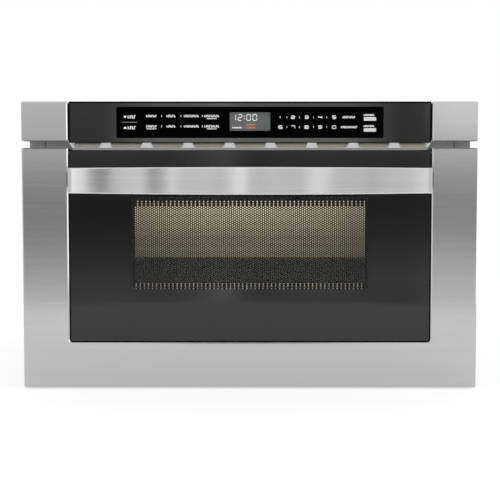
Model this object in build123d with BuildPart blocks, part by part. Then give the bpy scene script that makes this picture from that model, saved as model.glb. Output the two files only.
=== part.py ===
"""Microwave drawer, 24 inch built-in class, as an assembly of separate pieces.

Frame: X to the user's right, Y to the back, Z up, millimetres. Y = 0 is the cabinet face plane, which
the mounting flanges lie on, and Z = 0 is the underside of the chassis base, which stands on the
cabinet's shelf. X = 0 is the middle of the appliance. The drawer is modelled closed.
"""
from build123d import *
from math import atan, ceil, cos, pi, radians, sin, sqrt, tan
import os

os.makedirs("parts", exist_ok=True)

# ---------------------------------------------------------------- driving dimensions

# Chassis: the box that slides into the cabinet
chassis_width = 553.0
chassis_height = 370.0
chassis_depth = 584.0
sheet = 1.0                     # wrap, rear panel and cavity sheet
base_sheet = 1.6                # base pan sheet
frame_sheet = 1.2               # front frame and flange sheet

# Stainless face
side_overlap = 26.5             # the face reaches past the chassis on each side
top_overlap = 14.0              # the control panel stands above the chassis
face_depth = 38.0               # cabinet face plane to the stainless face
shelf_clearance = 2.0           # the drawer front stays this far above the shelf
panel_height = 52.6             # control panel
panel_gap = 8.6                 # between the drawer front and the control panel
stile_width = 61.3
bottom_rail_height = 60.6
trim_sheet = 1.2
trim_corner_radius = 4.5        # inner corners of the U
outer_corner_radius = 2.5
trim_bevel = 1.6                # bright edge along the inside of the U
lip_depth = 6.0                 # how far the inner edge of the trim turns back

# Door glass and control glass
glass_thickness = 4.0
glass_recess = 1.5              # glass behind the stainless face
glass_gap = 1.7                 # dark joint between glass and stainless
glass_drop = 3.8                # glass top below the stile tops
control_glass_thickness = 3.2
control_glass_drop = 1.8        # control glass reaches below the end caps

# Window
window_width = 314.0
window_top_margin = 23.0        # cavity ceiling above the window
window_bottom_margin = 48.0     # window above the cavity floor
screen_setback = 20.0           # screen plane behind the stainless face
screen_sheet = 0.5
screen_border = 7.0
door_sheet = 1.2
door_gap = 0.8                  # door back to the front frame
inner_window_thickness = 2.5
choke_depth = 8.0
choke_border = 18.0             # choke cover around the window
choke_wall = 2.0

# Handle
handle_end_gap = 1.4            # between the bar's ends and the stiles' inner edges, seen from the front
handle_height = 36.5
handle_end_height = 34.1
handle_drop = 39.3              # middle of the bar below the glass's top edge
handle_reach = 33.0             # face of the bar in the middle, in front of the stainless face
handle_end_reach = 15.0         # the same at its two ends
handle_thickness = 7.0
post_spacing = 400.0
post_width = 22.0
post_height = 20.0

# Oven cavity and drawer tub
side_space = 50.5               # chassis side to the inside of the cavity
top_space = 90.0                # cavity ceiling to the top of the chassis
rear_space = 151.0              # electrics behind the cavity
cavity_floor_z = 84.0
cavity_corner_radius = 6.0
tub_side_gap = 5.0
tub_rear_gap = 8.0
tub_floor_gap = 7.0
tub_wall_height = 50.0
tub_front_height = 20.0
tub_sheet = 1.0
tub_corner_radius = 16.0
tub_rim = 3.5
tray_thickness = 5.0
tray_gap = 3.0
tray_corner_radius = 14.0

# Telescopic slides
rail_length = 420.0
rail_height = 45.0
rail_package = 12.7             # thickness of the closed slide
rail_sheet = 1.2
rail_middle_height = 37.0
rail_inner_height = 28.0
rail_centre_z = 66.0
rail_setback = 4.0              # slide's front end behind the cabinet face plane
rail_lip_clearance = 0.8
drawer_travel = 380.0

# Drawer arms, racks and drive
arm_sheet = 1.6
arm_height = 48.0
arm_flange = 13.0
rack_width = 10.0
rack_body_height = 8.0
gear_module = 1.5
pinion_teeth = 16
gear_width = 12.0
tooth_backlash = 0.30
drive_module = 1.0
driven_gear_teeth = 30
motor_gear_teeth = 16
motor_gear_angle = 35.0         # from the cross shaft to the motor gear, above level
drive_gear_width = 8.0
shaft_radius = 4.0
bush_clearance = 0.05           # radial
shaft_setback = 40.0            # cross shaft behind the cabinet face plane
pressure_angle = 20.0
addendum = 0.9                  # tooth tip above the pitch line, in modules
dedendum = 1.25                 # tooth root below the pitch line, in modules

# Stirrer, waveguide and magnetron
dome_radius = 112.0
dome_height = 22.0
stirrer_radius = 92.0
stirrer_setback = 215.0
stirrer_cover_thickness = 1.2
waveguide_width = 90.0
waveguide_height = 36.0

# Cooling
fan_radius = 46.0
fan_housing_size = 112.0
fan_housing_depth = 34.0
fan_wall = 2.0
louvre_ribs = 8
louvre_pitch = 55.8
louvre_height = 16.0
louvre_depth = 14.0
rib_top_width = 6.5
rib_foot_width = 21.0

# Fixing to the cabinet
flange_width = 21.3             # flange on the cabinet's face, outside the chassis
flange_leg = 30.0
fixing_screw_radius = 2.5
fixing_edge = 9.3               # screw holes to the flange's outer edge
fixing_low_z = 60.0
fixing_drop = 70.0              # upper screw holes below the top of the chassis

# ---------------------------------------------------------------- derived places

wrap_half = chassis_width / 2
wrap_inner_x = wrap_half - sheet
rear_inner_y = chassis_depth - sheet
face_y = -face_depth
face_half = wrap_half + side_overlap
panel_top_z = chassis_height + top_overlap
panel_bottom_z = panel_top_z - panel_height
stile_top_z = panel_bottom_z - panel_gap
stile_inner_x = face_half - stile_width
rail_top_z = shelf_clearance + bottom_rail_height
glass_half = stile_inner_x - glass_gap
glass_front_y = face_y + glass_recess
glass_back_y = glass_front_y + glass_thickness
glass_bottom_z = rail_top_z + glass_gap
glass_top_z = stile_top_z - glass_drop
frame_front_y = -frame_sheet
door_back_y = frame_front_y - door_gap
cavity_half = wrap_half - side_space
cavity_ceiling_z = chassis_height - top_space
cavity_rear_y = chassis_depth - rear_space
cavity_depth = cavity_rear_y - sheet
screen_y = face_y + screen_setback
window_bottom_z = cavity_floor_z + window_bottom_margin
window_top_z = cavity_ceiling_z - window_top_margin
tub_half = cavity_half - tub_side_gap
tub_floor_z = cavity_floor_z + tub_floor_gap
tub_rear_y = cavity_depth - tub_rear_gap
rail_outer_x = wrap_inner_x
rail_inner_x = rail_outer_x - rail_package
arm_inner_x = rail_inner_x - arm_sheet
arm_bottom_z = rail_centre_z - arm_height / 2
arm_flange_x = rail_inner_x - arm_flange
pinion_pitch_radius = gear_module * pinion_teeth / 2
rack_root_z = arm_bottom_z - rack_body_height
rack_pitch_z = rack_root_z - dedendum * gear_module
shaft_z = rack_pitch_z - pinion_pitch_radius
rack_middle_x = (arm_flange_x + rail_inner_x) / 2


# ---------------------------------------------------------------- helpers

def front_plane(y):
    """The upright plane at depth y: sketch X is right, sketch Y is up, extrusions come forward."""
    return Plane((0, y, 0), x_dir=(1, 0, 0), z_dir=(0, -1, 0))


def side_plane(x):
    """The upright plane at x: sketch X runs back, sketch Y is up, extrusions go right."""
    return Plane((x, 0, 0), x_dir=(0, 1, 0), z_dir=(1, 0, 0))


def level_plane(z):
    """The level plane at height z: sketch X is right, sketch Y runs back, extrusions go up."""
    return Plane.XY.offset(z)


def rectangle_between(low, high, radius=0.0, mode=Mode.ADD):
    """A rectangle from its lowest to its highest corner, in the open sketch."""
    width = high[0] - low[0]
    height = high[1] - low[1]
    with Locations(((low[0] + high[0]) / 2, (low[1] + high[1]) / 2)):
        if radius > 0:
            RectangleRounded(width, height, radius, mode=mode)
        else:
            Rectangle(width, height, mode=mode)


def write(builder, label):
    """Names the finished piece and writes its STEP file."""
    builder.part.label = label
    export_step(builder.part, f"parts/{label}.step")


def write_pair(builder, label):
    """Writes a right-hand piece and its mirror image for the left."""
    with BuildPart() as left:
        mirror(builder.part, about=Plane.YZ)
    write(builder, f"{label}_right")
    write(left, f"{label}_left")


def gear_profile(module, teeth, phase):
    """An involute gear's outline in the open sketch; one tooth's middle is at phase degrees."""
    pitch_radius = module * teeth / 2
    tip_radius = pitch_radius + addendum * module
    root_radius = pitch_radius - dedendum * module
    base_radius = pitch_radius * cos(radians(pressure_angle))
    half_tooth = pi / (2 * teeth) - tooth_backlash / (2 * pitch_radius)
    pitch_inset = tan(radians(pressure_angle)) - radians(pressure_angle)

    def flank_angle(radius):
        """Half of the tooth's angle at this radius."""
        roll = sqrt(max(radius / base_radius, 1) ** 2 - 1)
        return half_tooth + pitch_inset - (roll - atan(roll))

    def point(radius, angle):
        return (radius * cos(angle), radius * sin(angle))

    radii = (root_radius, pitch_radius, tip_radius)
    outline = []
    for tooth in range(teeth):
        middle = radians(phase) + 2 * pi * tooth / teeth
        outline += [point(radius, middle - flank_angle(radius)) for radius in radii]
        outline += [point(radius, middle + flank_angle(radius)) for radius in reversed(radii)]
    Polygon(*outline, align=None)


# ---------------------------------------------------------------- chassis

base_lip = 16.0                 # turned-up edge of the base pan
toe_length = 12.0               # the base reaches forward under the drawer front
slot_length = 34.0              # ventilation slots
slot_width = 4.0
slot_pitch = 10.0
slot_land = 12.0                # sheet left between the ends of two slots
base_slots_y = 0.4 * chassis_depth
gland_radius = 11.0
gland_inset = 75.5              # cord gland in from the chassis side
gland_x = wrap_inner_x - gland_inset
gland_z = 40.0

with BuildPart() as chassis_base:
    with BuildSketch(level_plane(0)):
        rectangle_between((-wrap_inner_x, 0), (wrap_inner_x, chassis_depth - sheet))
    extrude(amount=base_lip)
    offset(amount=-base_sheet, openings=[
        chassis_base.faces().sort_by(Axis.Z)[-1],
        chassis_base.faces().sort_by(Axis.Y)[0],
    ])
    with BuildSketch(level_plane(0)):
        rectangle_between((-wrap_inner_x, -toe_length), (wrap_inner_x, 0))
    extrude(amount=base_sheet)
    with BuildSketch(level_plane(0)):
        with Locations((0, base_slots_y)):
            with GridLocations(slot_length + slot_land, 2 * slot_pitch, 4, 3):
                Rectangle(slot_length, slot_width)
    extrude(amount=base_sheet, mode=Mode.SUBTRACT)
write(chassis_base, "chassis_base")

wrap_fold_radius = 3.0
side_slots_y = chassis_depth - 94.0
side_slots_z = chassis_height - 140.0
rear_slots_x = -120.0
rear_slots_z = chassis_height - 120.0

with BuildPart() as chassis_wrap:
    with BuildSketch(front_plane(chassis_depth)):
        rectangle_between((-wrap_half, 0), (wrap_half, chassis_height))
    extrude(amount=chassis_depth)
    fillet(chassis_wrap.edges().filter_by(Axis.Y).group_by(Axis.Z)[-1], wrap_fold_radius)
    with BuildSketch(front_plane(chassis_depth)):
        rectangle_between((-wrap_inner_x, 0), (wrap_inner_x, chassis_height - sheet))
    extrude(amount=chassis_depth, mode=Mode.SUBTRACT)
    with BuildSketch(side_plane(-wrap_half)):
        with Locations((side_slots_y, side_slots_z)):
            with GridLocations(slot_pitch, slot_length + slot_land, 9, 2):
                Rectangle(slot_width, slot_length)
    extrude(amount=chassis_width, mode=Mode.SUBTRACT)
write(chassis_wrap, "chassis_wrap")

with BuildPart() as rear_panel:
    with BuildSketch(front_plane(chassis_depth)):
        rectangle_between((-wrap_inner_x, 0), (wrap_inner_x, chassis_height - sheet))
        with Locations((rear_slots_x, rear_slots_z)):
            with GridLocations(slot_length + slot_land, slot_pitch, 3, 9):
                Rectangle(slot_length, slot_width, mode=Mode.SUBTRACT)
        with Locations((gland_x, gland_z)):
            Circle(gland_radius, mode=Mode.SUBTRACT)
    extrude(amount=sheet)
write(rear_panel, "rear_panel")

gland_flange_radius = 15.0
gland_flange = 5.0
gland_length = 18.0
cord_hole_radius = 4.5

with BuildPart() as cord_bushing:
    with BuildSketch(front_plane(chassis_depth)):
        with Locations((gland_x, gland_z)):
            Circle(gland_radius)
    extrude(amount=gland_length)
    with BuildSketch(front_plane(rear_inner_y)):
        with Locations((gland_x, gland_z)):
            RegularPolygon(gland_flange_radius, 6)
    extrude(amount=gland_flange)
    with BuildSketch(front_plane(chassis_depth)):
        with Locations((gland_x, gland_z)):
            Circle(cord_hole_radius)
    extrude(amount=gland_length, mode=Mode.SUBTRACT)
write(cord_bushing, "cord_bushing")

# The front frame closes the chassis; the drawer seals against it around the cavity's mouth.
arm_slot_gap = 4.0              # around the arms and slides
arm_slot_low_z = rack_pitch_z - arm_slot_gap - 1.0
arm_slot_high_z = arm_bottom_z + arm_height + arm_slot_gap
arm_slot_inner_x = arm_flange_x - arm_slot_gap / 2
arm_slot_outer_x = wrap_inner_x - rail_sheet
louvre_half = glass_half
louvre_lift = 0.4               # louvre's middle above the middle of the gap
louvre_middle_z = (stile_top_z + panel_bottom_z) / 2 + louvre_lift
louvre_bottom_z = louvre_middle_z - louvre_height / 2
louvre_top_z = louvre_middle_z + louvre_height / 2
hook_inset = 21.5
hook_x = wrap_inner_x - hook_inset
hook_rise = 10.0                # hooks above the cavity ceiling
hook_bottom_z = cavity_ceiling_z + hook_rise
hook_height = 16.0
hook_slot_width = 8.0
hook_slot_margin = 3.0

with BuildPart() as front_frame:
    with BuildSketch(front_plane(0)):
        rectangle_between((-wrap_half, base_sheet), (wrap_half, chassis_height))
        rectangle_between(
            (-cavity_half, cavity_floor_z), (cavity_half, cavity_ceiling_z),
            radius=cavity_corner_radius, mode=Mode.SUBTRACT,
        )
        rectangle_between(
            (-louvre_half, louvre_bottom_z), (louvre_half, louvre_top_z), mode=Mode.SUBTRACT
        )
        for sign in (-1, 1):
            with Locations((
                sign * (arm_slot_inner_x + arm_slot_outer_x) / 2, (arm_slot_low_z + arm_slot_high_z) / 2
            )):
                Rectangle(
                    arm_slot_outer_x - arm_slot_inner_x, arm_slot_high_z - arm_slot_low_z, mode=Mode.SUBTRACT
                )
            with Locations((sign * hook_x, hook_bottom_z + hook_height / 2)):
                Rectangle(hook_slot_width, hook_height + 2 * hook_slot_margin, mode=Mode.SUBTRACT)
    extrude(amount=frame_sheet)
write(front_frame, "front_frame")

# Flanges: an L in plan, one leg along the side of the wrap and one on the cabinet's face.
flange_top_z = chassis_height - 2.0
flange_bottom_z = 12.0
flange_corner_radius = 4.0
flange_reach = wrap_half + flange_width
fixing_x = flange_reach - fixing_edge
fixing_high_z = chassis_height - fixing_drop

with BuildPart() as mounting_flange:
    with BuildSketch(level_plane(flange_bottom_z)):
        with BuildLine():
            Polyline(
                (wrap_half, -frame_sheet),
                (flange_reach, -frame_sheet),
                (flange_reach, 0),
                (wrap_half + frame_sheet, 0),
                (wrap_half + frame_sheet, flange_leg),
                (wrap_half, flange_leg),
                close=True,
            )
        make_face()
    extrude(amount=flange_top_z - flange_bottom_z)
    fillet(mounting_flange.edges().filter_by(Axis.Y).group_by(Axis.X)[-1], flange_corner_radius)
    with BuildSketch(front_plane(0)):
        with Locations((fixing_x, fixing_low_z), (fixing_x, fixing_high_z)):
            Circle(fixing_screw_radius)
    extrude(amount=frame_sheet, mode=Mode.SUBTRACT)
write_pair(mounting_flange, "mounting_flange")

# Air outlet in the gap above the drawer: tapered ribs between pockets, each with a floor that rises to the back.
pocket_sheet = 1.4
pocket_foot = 4.0
pocket_rise = 6.4

with BuildPart() as vent_louvre:
    with BuildSketch(front_plane(louvre_depth - frame_sheet)):
        rectangle_between((-louvre_half, louvre_bottom_z), (louvre_half, louvre_top_z))
    extrude(amount=louvre_depth)
    with BuildSketch(front_plane(louvre_depth - frame_sheet)):
        rectangle_between(
            (-louvre_half + pocket_sheet, louvre_bottom_z + pocket_foot),
            (louvre_half - pocket_sheet, louvre_top_z - pocket_sheet),
        )
        for rib in range(louvre_ribs):
            rib_x = (rib - (louvre_ribs - 1) / 2) * louvre_pitch
            with BuildLine():
                Polyline(
                    (rib_x - rib_foot_width / 2, louvre_bottom_z),
                    (rib_x + rib_foot_width / 2, louvre_bottom_z),
                    (rib_x + rib_top_width / 2, louvre_top_z),
                    (rib_x - rib_top_width / 2, louvre_top_z),
                    close=True,
                )
            make_face(mode=Mode.SUBTRACT)
    extrude(amount=louvre_depth, mode=Mode.SUBTRACT)
    with BuildSketch(side_plane(-louvre_half)):
        with BuildLine():
            Polyline(
                (-frame_sheet, louvre_bottom_z + pocket_foot),
                (louvre_depth - frame_sheet, louvre_bottom_z + pocket_foot),
                (louvre_depth - frame_sheet, louvre_bottom_z + pocket_foot + pocket_rise),
                close=True,
            )
        make_face()
    extrude(amount=2 * louvre_half)
write(vent_louvre, "vent_louvre")

duct_length = 84.0
duct_narrowing = 60.0           # the duct narrows this much on each side towards the back

with BuildPart() as air_duct:
    with BuildSketch(level_plane(louvre_bottom_z)):
        with BuildLine():
            Polyline(
                (-louvre_half, louvre_depth - frame_sheet),
                (louvre_half, louvre_depth - frame_sheet),
                (louvre_half - duct_narrowing, louvre_depth - frame_sheet + duct_length),
                (-louvre_half + duct_narrowing, louvre_depth - frame_sheet + duct_length),
                close=True,
            )
        make_face()
    extrude(amount=louvre_height)
    offset(amount=-pocket_sheet, openings=[
        air_duct.faces().sort_by(Axis.Y)[0],
        air_duct.faces().sort_by(Axis.Y)[-1],
    ])
write(air_duct, "air_duct")

# ---------------------------------------------------------------- oven cavity and microwave feed

feed_width = 70.0               # opening from the waveguide into the stirrer dome
feed_length = 60.0
dome_taper = 8.0                # degrees
lamp_x = -150.0
lamp_drop = 32.0                # lamp below the ceiling
lamp_z = cavity_ceiling_z - lamp_drop
lamp_hole_radius = 14.0

with BuildPart() as oven_cavity:
    with BuildSketch(front_plane(cavity_rear_y)):
        rectangle_between(
            (-cavity_half - sheet, cavity_floor_z - sheet), (cavity_half + sheet, cavity_ceiling_z + sheet),
            radius=cavity_corner_radius + sheet,
        )
    extrude(amount=cavity_rear_y)
    with BuildSketch(level_plane(cavity_ceiling_z)):
        with Locations((0, stirrer_setback)):
            Circle(dome_radius + sheet)
    extrude(amount=dome_height + sheet, taper=dome_taper)
    with BuildSketch(level_plane(cavity_ceiling_z - sheet)):
        with Locations((0, stirrer_setback)):
            Circle(dome_radius)
    extrude(amount=dome_height + sheet, taper=dome_taper, mode=Mode.SUBTRACT)
    with BuildSketch(front_plane(cavity_depth)):
        rectangle_between(
            (-cavity_half, cavity_floor_z), (cavity_half, cavity_ceiling_z), radius=cavity_corner_radius
        )
    extrude(amount=cavity_depth, mode=Mode.SUBTRACT)
    with BuildSketch(level_plane(cavity_ceiling_z + dome_height - sheet)):
        with Locations((0, stirrer_setback)):
            Rectangle(feed_width, feed_length)
    extrude(amount=3 * sheet, mode=Mode.SUBTRACT)
    with BuildSketch(front_plane(cavity_rear_y)):
        with Locations((lamp_x, lamp_z)):
            Circle(lamp_hole_radius)
    extrude(amount=sheet, mode=Mode.SUBTRACT)
write(oven_cavity, "oven_cavity")

stirrer_cover_overlap = 7.0

with BuildPart() as stirrer_cover:
    with BuildSketch(level_plane(cavity_ceiling_z - stirrer_cover_thickness)):
        with Locations((0, stirrer_setback)):
            Circle(dome_radius + stirrer_cover_overlap)
    extrude(amount=stirrer_cover_thickness)
    chamfer(stirrer_cover.edges().group_by(Axis.Z)[0], stirrer_cover_thickness / 2)
write(stirrer_cover, "stirrer_cover")

# Stirrer: tapered paddles with turned-up tips on a hub, driven from above.
stirrer_gap = 4.0               # below and above the paddles
stirrer_sheet = 1.2
paddle_count = 4
paddle_tip_width = 46.0
paddle_root_width = 16.0
paddle_tip_height = 9.0
stirrer_hub_radius = 8.0
stirrer_shaft_radius = 3.0
stirrer_shaft_gap = 1.0         # around the shaft in the waveguide's top
waveguide_bottom_z = cavity_ceiling_z + dome_height + sheet
waveguide_top_z = waveguide_bottom_z + waveguide_height
stirrer_motor_socket = 8.0
shaft_end_gap = 1.0             # between a shaft's end and the bottom of its socket
stirrer_z = cavity_ceiling_z + stirrer_gap

with BuildPart() as stirrer_blade:
    with BuildSketch(level_plane(stirrer_z)):
        with Locations((0, stirrer_setback)):
            Circle(stirrer_hub_radius)
            with PolarLocations(0, paddle_count):
                Polygon(
                    (0, -paddle_root_width / 2),
                    (stirrer_radius, -paddle_tip_width / 2),
                    (stirrer_radius, paddle_tip_width / 2),
                    (0, paddle_root_width / 2),
                    align=None,
                )
    extrude(amount=stirrer_sheet)
    with BuildSketch(level_plane(stirrer_z)):
        with Locations((0, stirrer_setback)):
            with PolarLocations(stirrer_radius - stirrer_sheet / 2, paddle_count):
                Rectangle(stirrer_sheet, paddle_tip_width)
    extrude(amount=paddle_tip_height)
    with BuildSketch(level_plane(stirrer_z)):
        with Locations((0, stirrer_setback)):
            Circle(stirrer_shaft_radius)
    extrude(amount=waveguide_top_z + stirrer_motor_socket - shaft_end_gap - stirrer_z)
    with BuildSketch(level_plane(stirrer_z)):
        with Locations((0, stirrer_setback)):
            Circle(stirrer_hub_radius)
    extrude(amount=paddle_tip_height)
write(stirrer_blade, "stirrer_blade")

stirrer_motor_radius = 24.0
stirrer_motor_height = 18.0
motor_ear_spacing = 62.0
motor_ear_width = 12.0
motor_ear_sheet = 2.0
motor_edge = 2.0

with BuildPart() as stirrer_motor:
    with BuildSketch(level_plane(waveguide_top_z)):
        with Locations((0, stirrer_setback)):
            Circle(stirrer_motor_radius)
    extrude(amount=stirrer_motor_height)
    chamfer(stirrer_motor.edges().group_by(Axis.Z)[-1], motor_edge)
    with BuildSketch(level_plane(waveguide_top_z)):
        with Locations((0, stirrer_setback)):
            SlotCenterToCenter(motor_ear_spacing, motor_ear_width)
    extrude(amount=motor_ear_sheet)
    with BuildSketch(level_plane(waveguide_top_z)):
        with Locations((0, stirrer_setback)):
            Circle(stirrer_shaft_radius + bush_clearance)
    extrude(amount=stirrer_motor_socket, mode=Mode.SUBTRACT)
write(stirrer_motor, "stirrer_motor")

# Waveguide: a rectangular tube from the magnetron's antenna to the stirrer dome.
antenna_hole_radius = 13.0
waveguide_end_space = 14.0      # in front of the feed opening
waveguide_rear_space = 46.0     # behind the antenna
magnetron_gap = 23.0            # between the cavity and the magnetron's yoke
yoke_width = 94.0
yoke_depth = 72.0
magnetron_y = cavity_rear_y + magnetron_gap + yoke_depth / 2
waveguide_front_y = stirrer_setback - feed_length / 2 - waveguide_end_space
waveguide_rear_y = magnetron_y + waveguide_rear_space

with BuildPart() as waveguide:
    with BuildSketch(level_plane(waveguide_bottom_z)):
        rectangle_between(
            (-waveguide_width / 2, waveguide_front_y), (waveguide_width / 2, waveguide_rear_y)
        )
    extrude(amount=waveguide_height)
    rear_end = waveguide.edges().filter_by(Axis.X).group_by(Axis.Y)[-1].sort_by(Axis.Z)[-1]
    chamfer(rear_end, waveguide_height / 3)
    with BuildSketch(side_plane(-waveguide_width / 2 + sheet)):
        rectangle_between(
            (waveguide_front_y + sheet, waveguide_bottom_z + sheet),
            (waveguide_rear_y - waveguide_height / 3 - sheet, waveguide_top_z - sheet),
        )
    extrude(amount=waveguide_width - 2 * sheet, mode=Mode.SUBTRACT)
    with BuildSketch(level_plane(waveguide_bottom_z)):
        with Locations((0, stirrer_setback)):
            Rectangle(feed_width, feed_length)
        with Locations((0, magnetron_y)):
            Circle(antenna_hole_radius)
    extrude(amount=sheet, mode=Mode.SUBTRACT)
    with BuildSketch(level_plane(waveguide_top_z - sheet)):
        with Locations((0, stirrer_setback)):
            Circle(stirrer_shaft_radius + stirrer_shaft_gap)
    extrude(amount=sheet, mode=Mode.SUBTRACT)
write(waveguide, "waveguide")

# Magnetron: hangs from the waveguide with its antenna inside it. A yoke holds the finned anode and
# the magnets, and the filter box closes it below.
yoke_height = 64.0
yoke_sheet = 2.0
antenna_radius = 8.0
antenna_height = 22.0
gasket_radius = 14.0
gasket_height = 2.5
anode_radius = 19.0
magnet_radius = 28.0
magnet_height = 12.0
fin_count = 5
fin_sheet = 0.8
fin_inset = 4.0                 # fins behind the yoke's open sides
filter_box_width = 62.0
filter_box_height = 48.0
filter_box_inset = 3.0
yoke_top_z = waveguide_bottom_z - gasket_height
yoke_bottom_z = yoke_top_z - yoke_height

with BuildPart() as magnetron:
    with BuildSketch(front_plane(magnetron_y + yoke_depth / 2)):
        rectangle_between((-yoke_width / 2, yoke_bottom_z), (yoke_width / 2, yoke_top_z))
        rectangle_between(
            (-yoke_width / 2 + yoke_sheet, yoke_bottom_z + yoke_sheet),
            (yoke_width / 2 - yoke_sheet, yoke_top_z - yoke_sheet),
            mode=Mode.SUBTRACT,
        )
    extrude(amount=yoke_depth)
    with BuildSketch(level_plane(yoke_bottom_z)):
        with Locations((0, magnetron_y)):
            Circle(anode_radius)
    extrude(amount=yoke_height)
    for magnet_z in (yoke_bottom_z + yoke_sheet, yoke_top_z - yoke_sheet - magnet_height):
        with BuildSketch(level_plane(magnet_z)):
            with Locations((0, magnetron_y)):
                Circle(magnet_radius)
        extrude(amount=magnet_height)
    fin_span = yoke_height - 2 * (yoke_sheet + magnet_height)
    for fin in range(fin_count):
        fin_z = yoke_bottom_z + yoke_sheet + magnet_height + fin_span * (fin + 0.5) / fin_count
        with BuildSketch(level_plane(fin_z)):
            with Locations((0, magnetron_y)):
                Rectangle(yoke_width - 2 * yoke_sheet, yoke_depth - 2 * fin_inset)
        extrude(amount=fin_sheet)
    with BuildSketch(level_plane(yoke_top_z)):
        with Locations((0, magnetron_y)):
            Circle(gasket_radius)
    extrude(amount=gasket_height)
    with BuildSketch(level_plane(waveguide_bottom_z)):
        with Locations((0, magnetron_y)):
            Circle(antenna_radius)
    extrude(amount=antenna_height)
    chamfer(magnetron.edges().group_by(Axis.Z)[-1], antenna_radius / 3)
    with BuildSketch(level_plane(yoke_bottom_z - filter_box_height)):
        with Locations((0, magnetron_y)):
            Rectangle(filter_box_width, yoke_depth - 2 * filter_box_inset)
    extrude(amount=filter_box_height)
write(magnetron, "magnetron")

# ---------------------------------------------------------------- lamp, cooling fan and power supply

bulb_radius = 8.0
bulb_reach = 5.0                # bulb inside the cavity's rear wall
lamp_holder_depth = 34.0
lamp_holder_size = 40.0
lamp_holder_floor = 6.0

with BuildPart() as lamp_holder:
    with BuildSketch(front_plane(cavity_rear_y + lamp_holder_depth)):
        with Locations((lamp_x, lamp_z)):
            Rectangle(lamp_holder_size, lamp_holder_size)
    extrude(amount=lamp_holder_depth)
    with BuildSketch(front_plane(cavity_rear_y + lamp_holder_depth - lamp_holder_floor)):
        with Locations((lamp_x, lamp_z)):
            Circle(lamp_hole_radius)
    extrude(amount=lamp_holder_depth, mode=Mode.SUBTRACT)
write(lamp_holder, "lamp_holder")

bulb_base_radius = 6.0
bulb_base_y = cavity_rear_y + lamp_holder_depth - lamp_holder_floor
bulb_tip_y = cavity_depth - bulb_reach
bulb_neck_y = cavity_rear_y + 12.0
bulb_neck_length = 4.0

with BuildPart() as lamp_bulb:
    with BuildSketch(Plane((lamp_x, 0, lamp_z), x_dir=(1, 0, 0), z_dir=(0, 0, 1))):
        with BuildLine():
            Polyline(
                (0, bulb_tip_y + bulb_radius),
                (0, bulb_base_y),
                (bulb_base_radius, bulb_base_y),
                (bulb_base_radius, bulb_neck_y + bulb_neck_length),
                (bulb_radius, bulb_neck_y),
                (bulb_radius, bulb_tip_y + bulb_radius),
            )
            CenterArc((0, bulb_tip_y + bulb_radius), bulb_radius, 270, 90)
            Line((0, bulb_tip_y), (0, bulb_tip_y + bulb_radius))
        make_face()
    revolve(axis=Axis((lamp_x, 0, lamp_z), (0, 1, 0)))
write(lamp_bulb, "lamp_bulb")

# Cooling fan: blows across the magnetron's fins. The housing stands against the rear panel.
fan_duct_length = 29.0          # between the fan's outlet and the magnetron's yoke
fan_x = -yoke_width / 2 - fan_duct_length
fan_y = rear_inner_y - fan_housing_size / 2
fan_z = yoke_bottom_z + yoke_height / 2
fan_tip_clearance = 2.0
fan_hub_radius = 14.0
fan_blades = 5
fan_blade_sheet = 2.0
fan_blade_pitch = 32.0          # degrees between a blade and the plane of rotation
fan_depth = 22.0
fan_corner_radius = 6.0
fan_inlet_x = fan_x - fan_housing_depth

with BuildPart() as fan_housing:
    with BuildSketch(side_plane(fan_inlet_x)):
        with Locations((fan_y, fan_z)):
            RectangleRounded(fan_housing_size, fan_housing_size, fan_corner_radius)
    extrude(amount=fan_housing_depth)
    offset(amount=-fan_wall, openings=[
        fan_housing.faces().sort_by(Axis.X)[0],
        fan_housing.faces().sort_by(Axis.X)[-1],
    ])
    with BuildSketch(side_plane(fan_inlet_x)):
        with Locations((fan_y, fan_z)):
            RectangleRounded(fan_housing_size, fan_housing_size, fan_corner_radius)
            Circle(fan_radius + fan_tip_clearance, mode=Mode.SUBTRACT)
    extrude(amount=fan_wall)
    with BuildSketch(side_plane(fan_inlet_x)):
        with Locations((fan_y, fan_z)):
            Circle(fan_radius + fan_tip_clearance + fan_wall)
            Circle(fan_radius + fan_tip_clearance, mode=Mode.SUBTRACT)
    extrude(amount=fan_housing_depth)
write(fan_housing, "fan_housing")

fan_motor_radius = 24.0
fan_motor_length = 36.0
fan_motor_gap = 3.0
fan_shaft_radius = 2.5
fan_socket_depth = 12.0
fan_arm_width = 10.0
fan_arm_sheet = 3.0
fan_arm_inset = 4.0             # arms inside the housing's edge
fan_post_width = 8.0
fan_post_inset = 8.0
fan_motor_face_x = fan_inlet_x - fan_motor_gap

with BuildPart() as fan_motor:
    with BuildSketch(side_plane(fan_motor_face_x)):
        with Locations((fan_y, fan_z)):
            Circle(fan_motor_radius)
    extrude(amount=-fan_motor_length)
    chamfer(fan_motor.edges().group_by(Axis.X)[0], motor_edge)
    with BuildSketch(side_plane(fan_motor_face_x - fan_arm_sheet)):
        with Locations((fan_y, fan_z)):
            Rectangle(fan_housing_size - 2 * fan_arm_inset, fan_arm_width)
            Rectangle(fan_arm_width, fan_housing_size - 2 * fan_arm_inset)
    extrude(amount=fan_arm_sheet)
    with BuildSketch(side_plane(fan_motor_face_x)):
        with Locations((fan_y, fan_z)):
            with PolarLocations(fan_housing_size / 2 - fan_post_inset, 4):
                Rectangle(fan_post_width, fan_post_width)
    extrude(amount=fan_motor_gap)
    with BuildSketch(side_plane(fan_motor_face_x)):
        with Locations((fan_y, fan_z)):
            Circle(fan_shaft_radius + bush_clearance)
    extrude(amount=-fan_socket_depth, mode=Mode.SUBTRACT)
write(fan_motor, "fan_motor")

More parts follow.
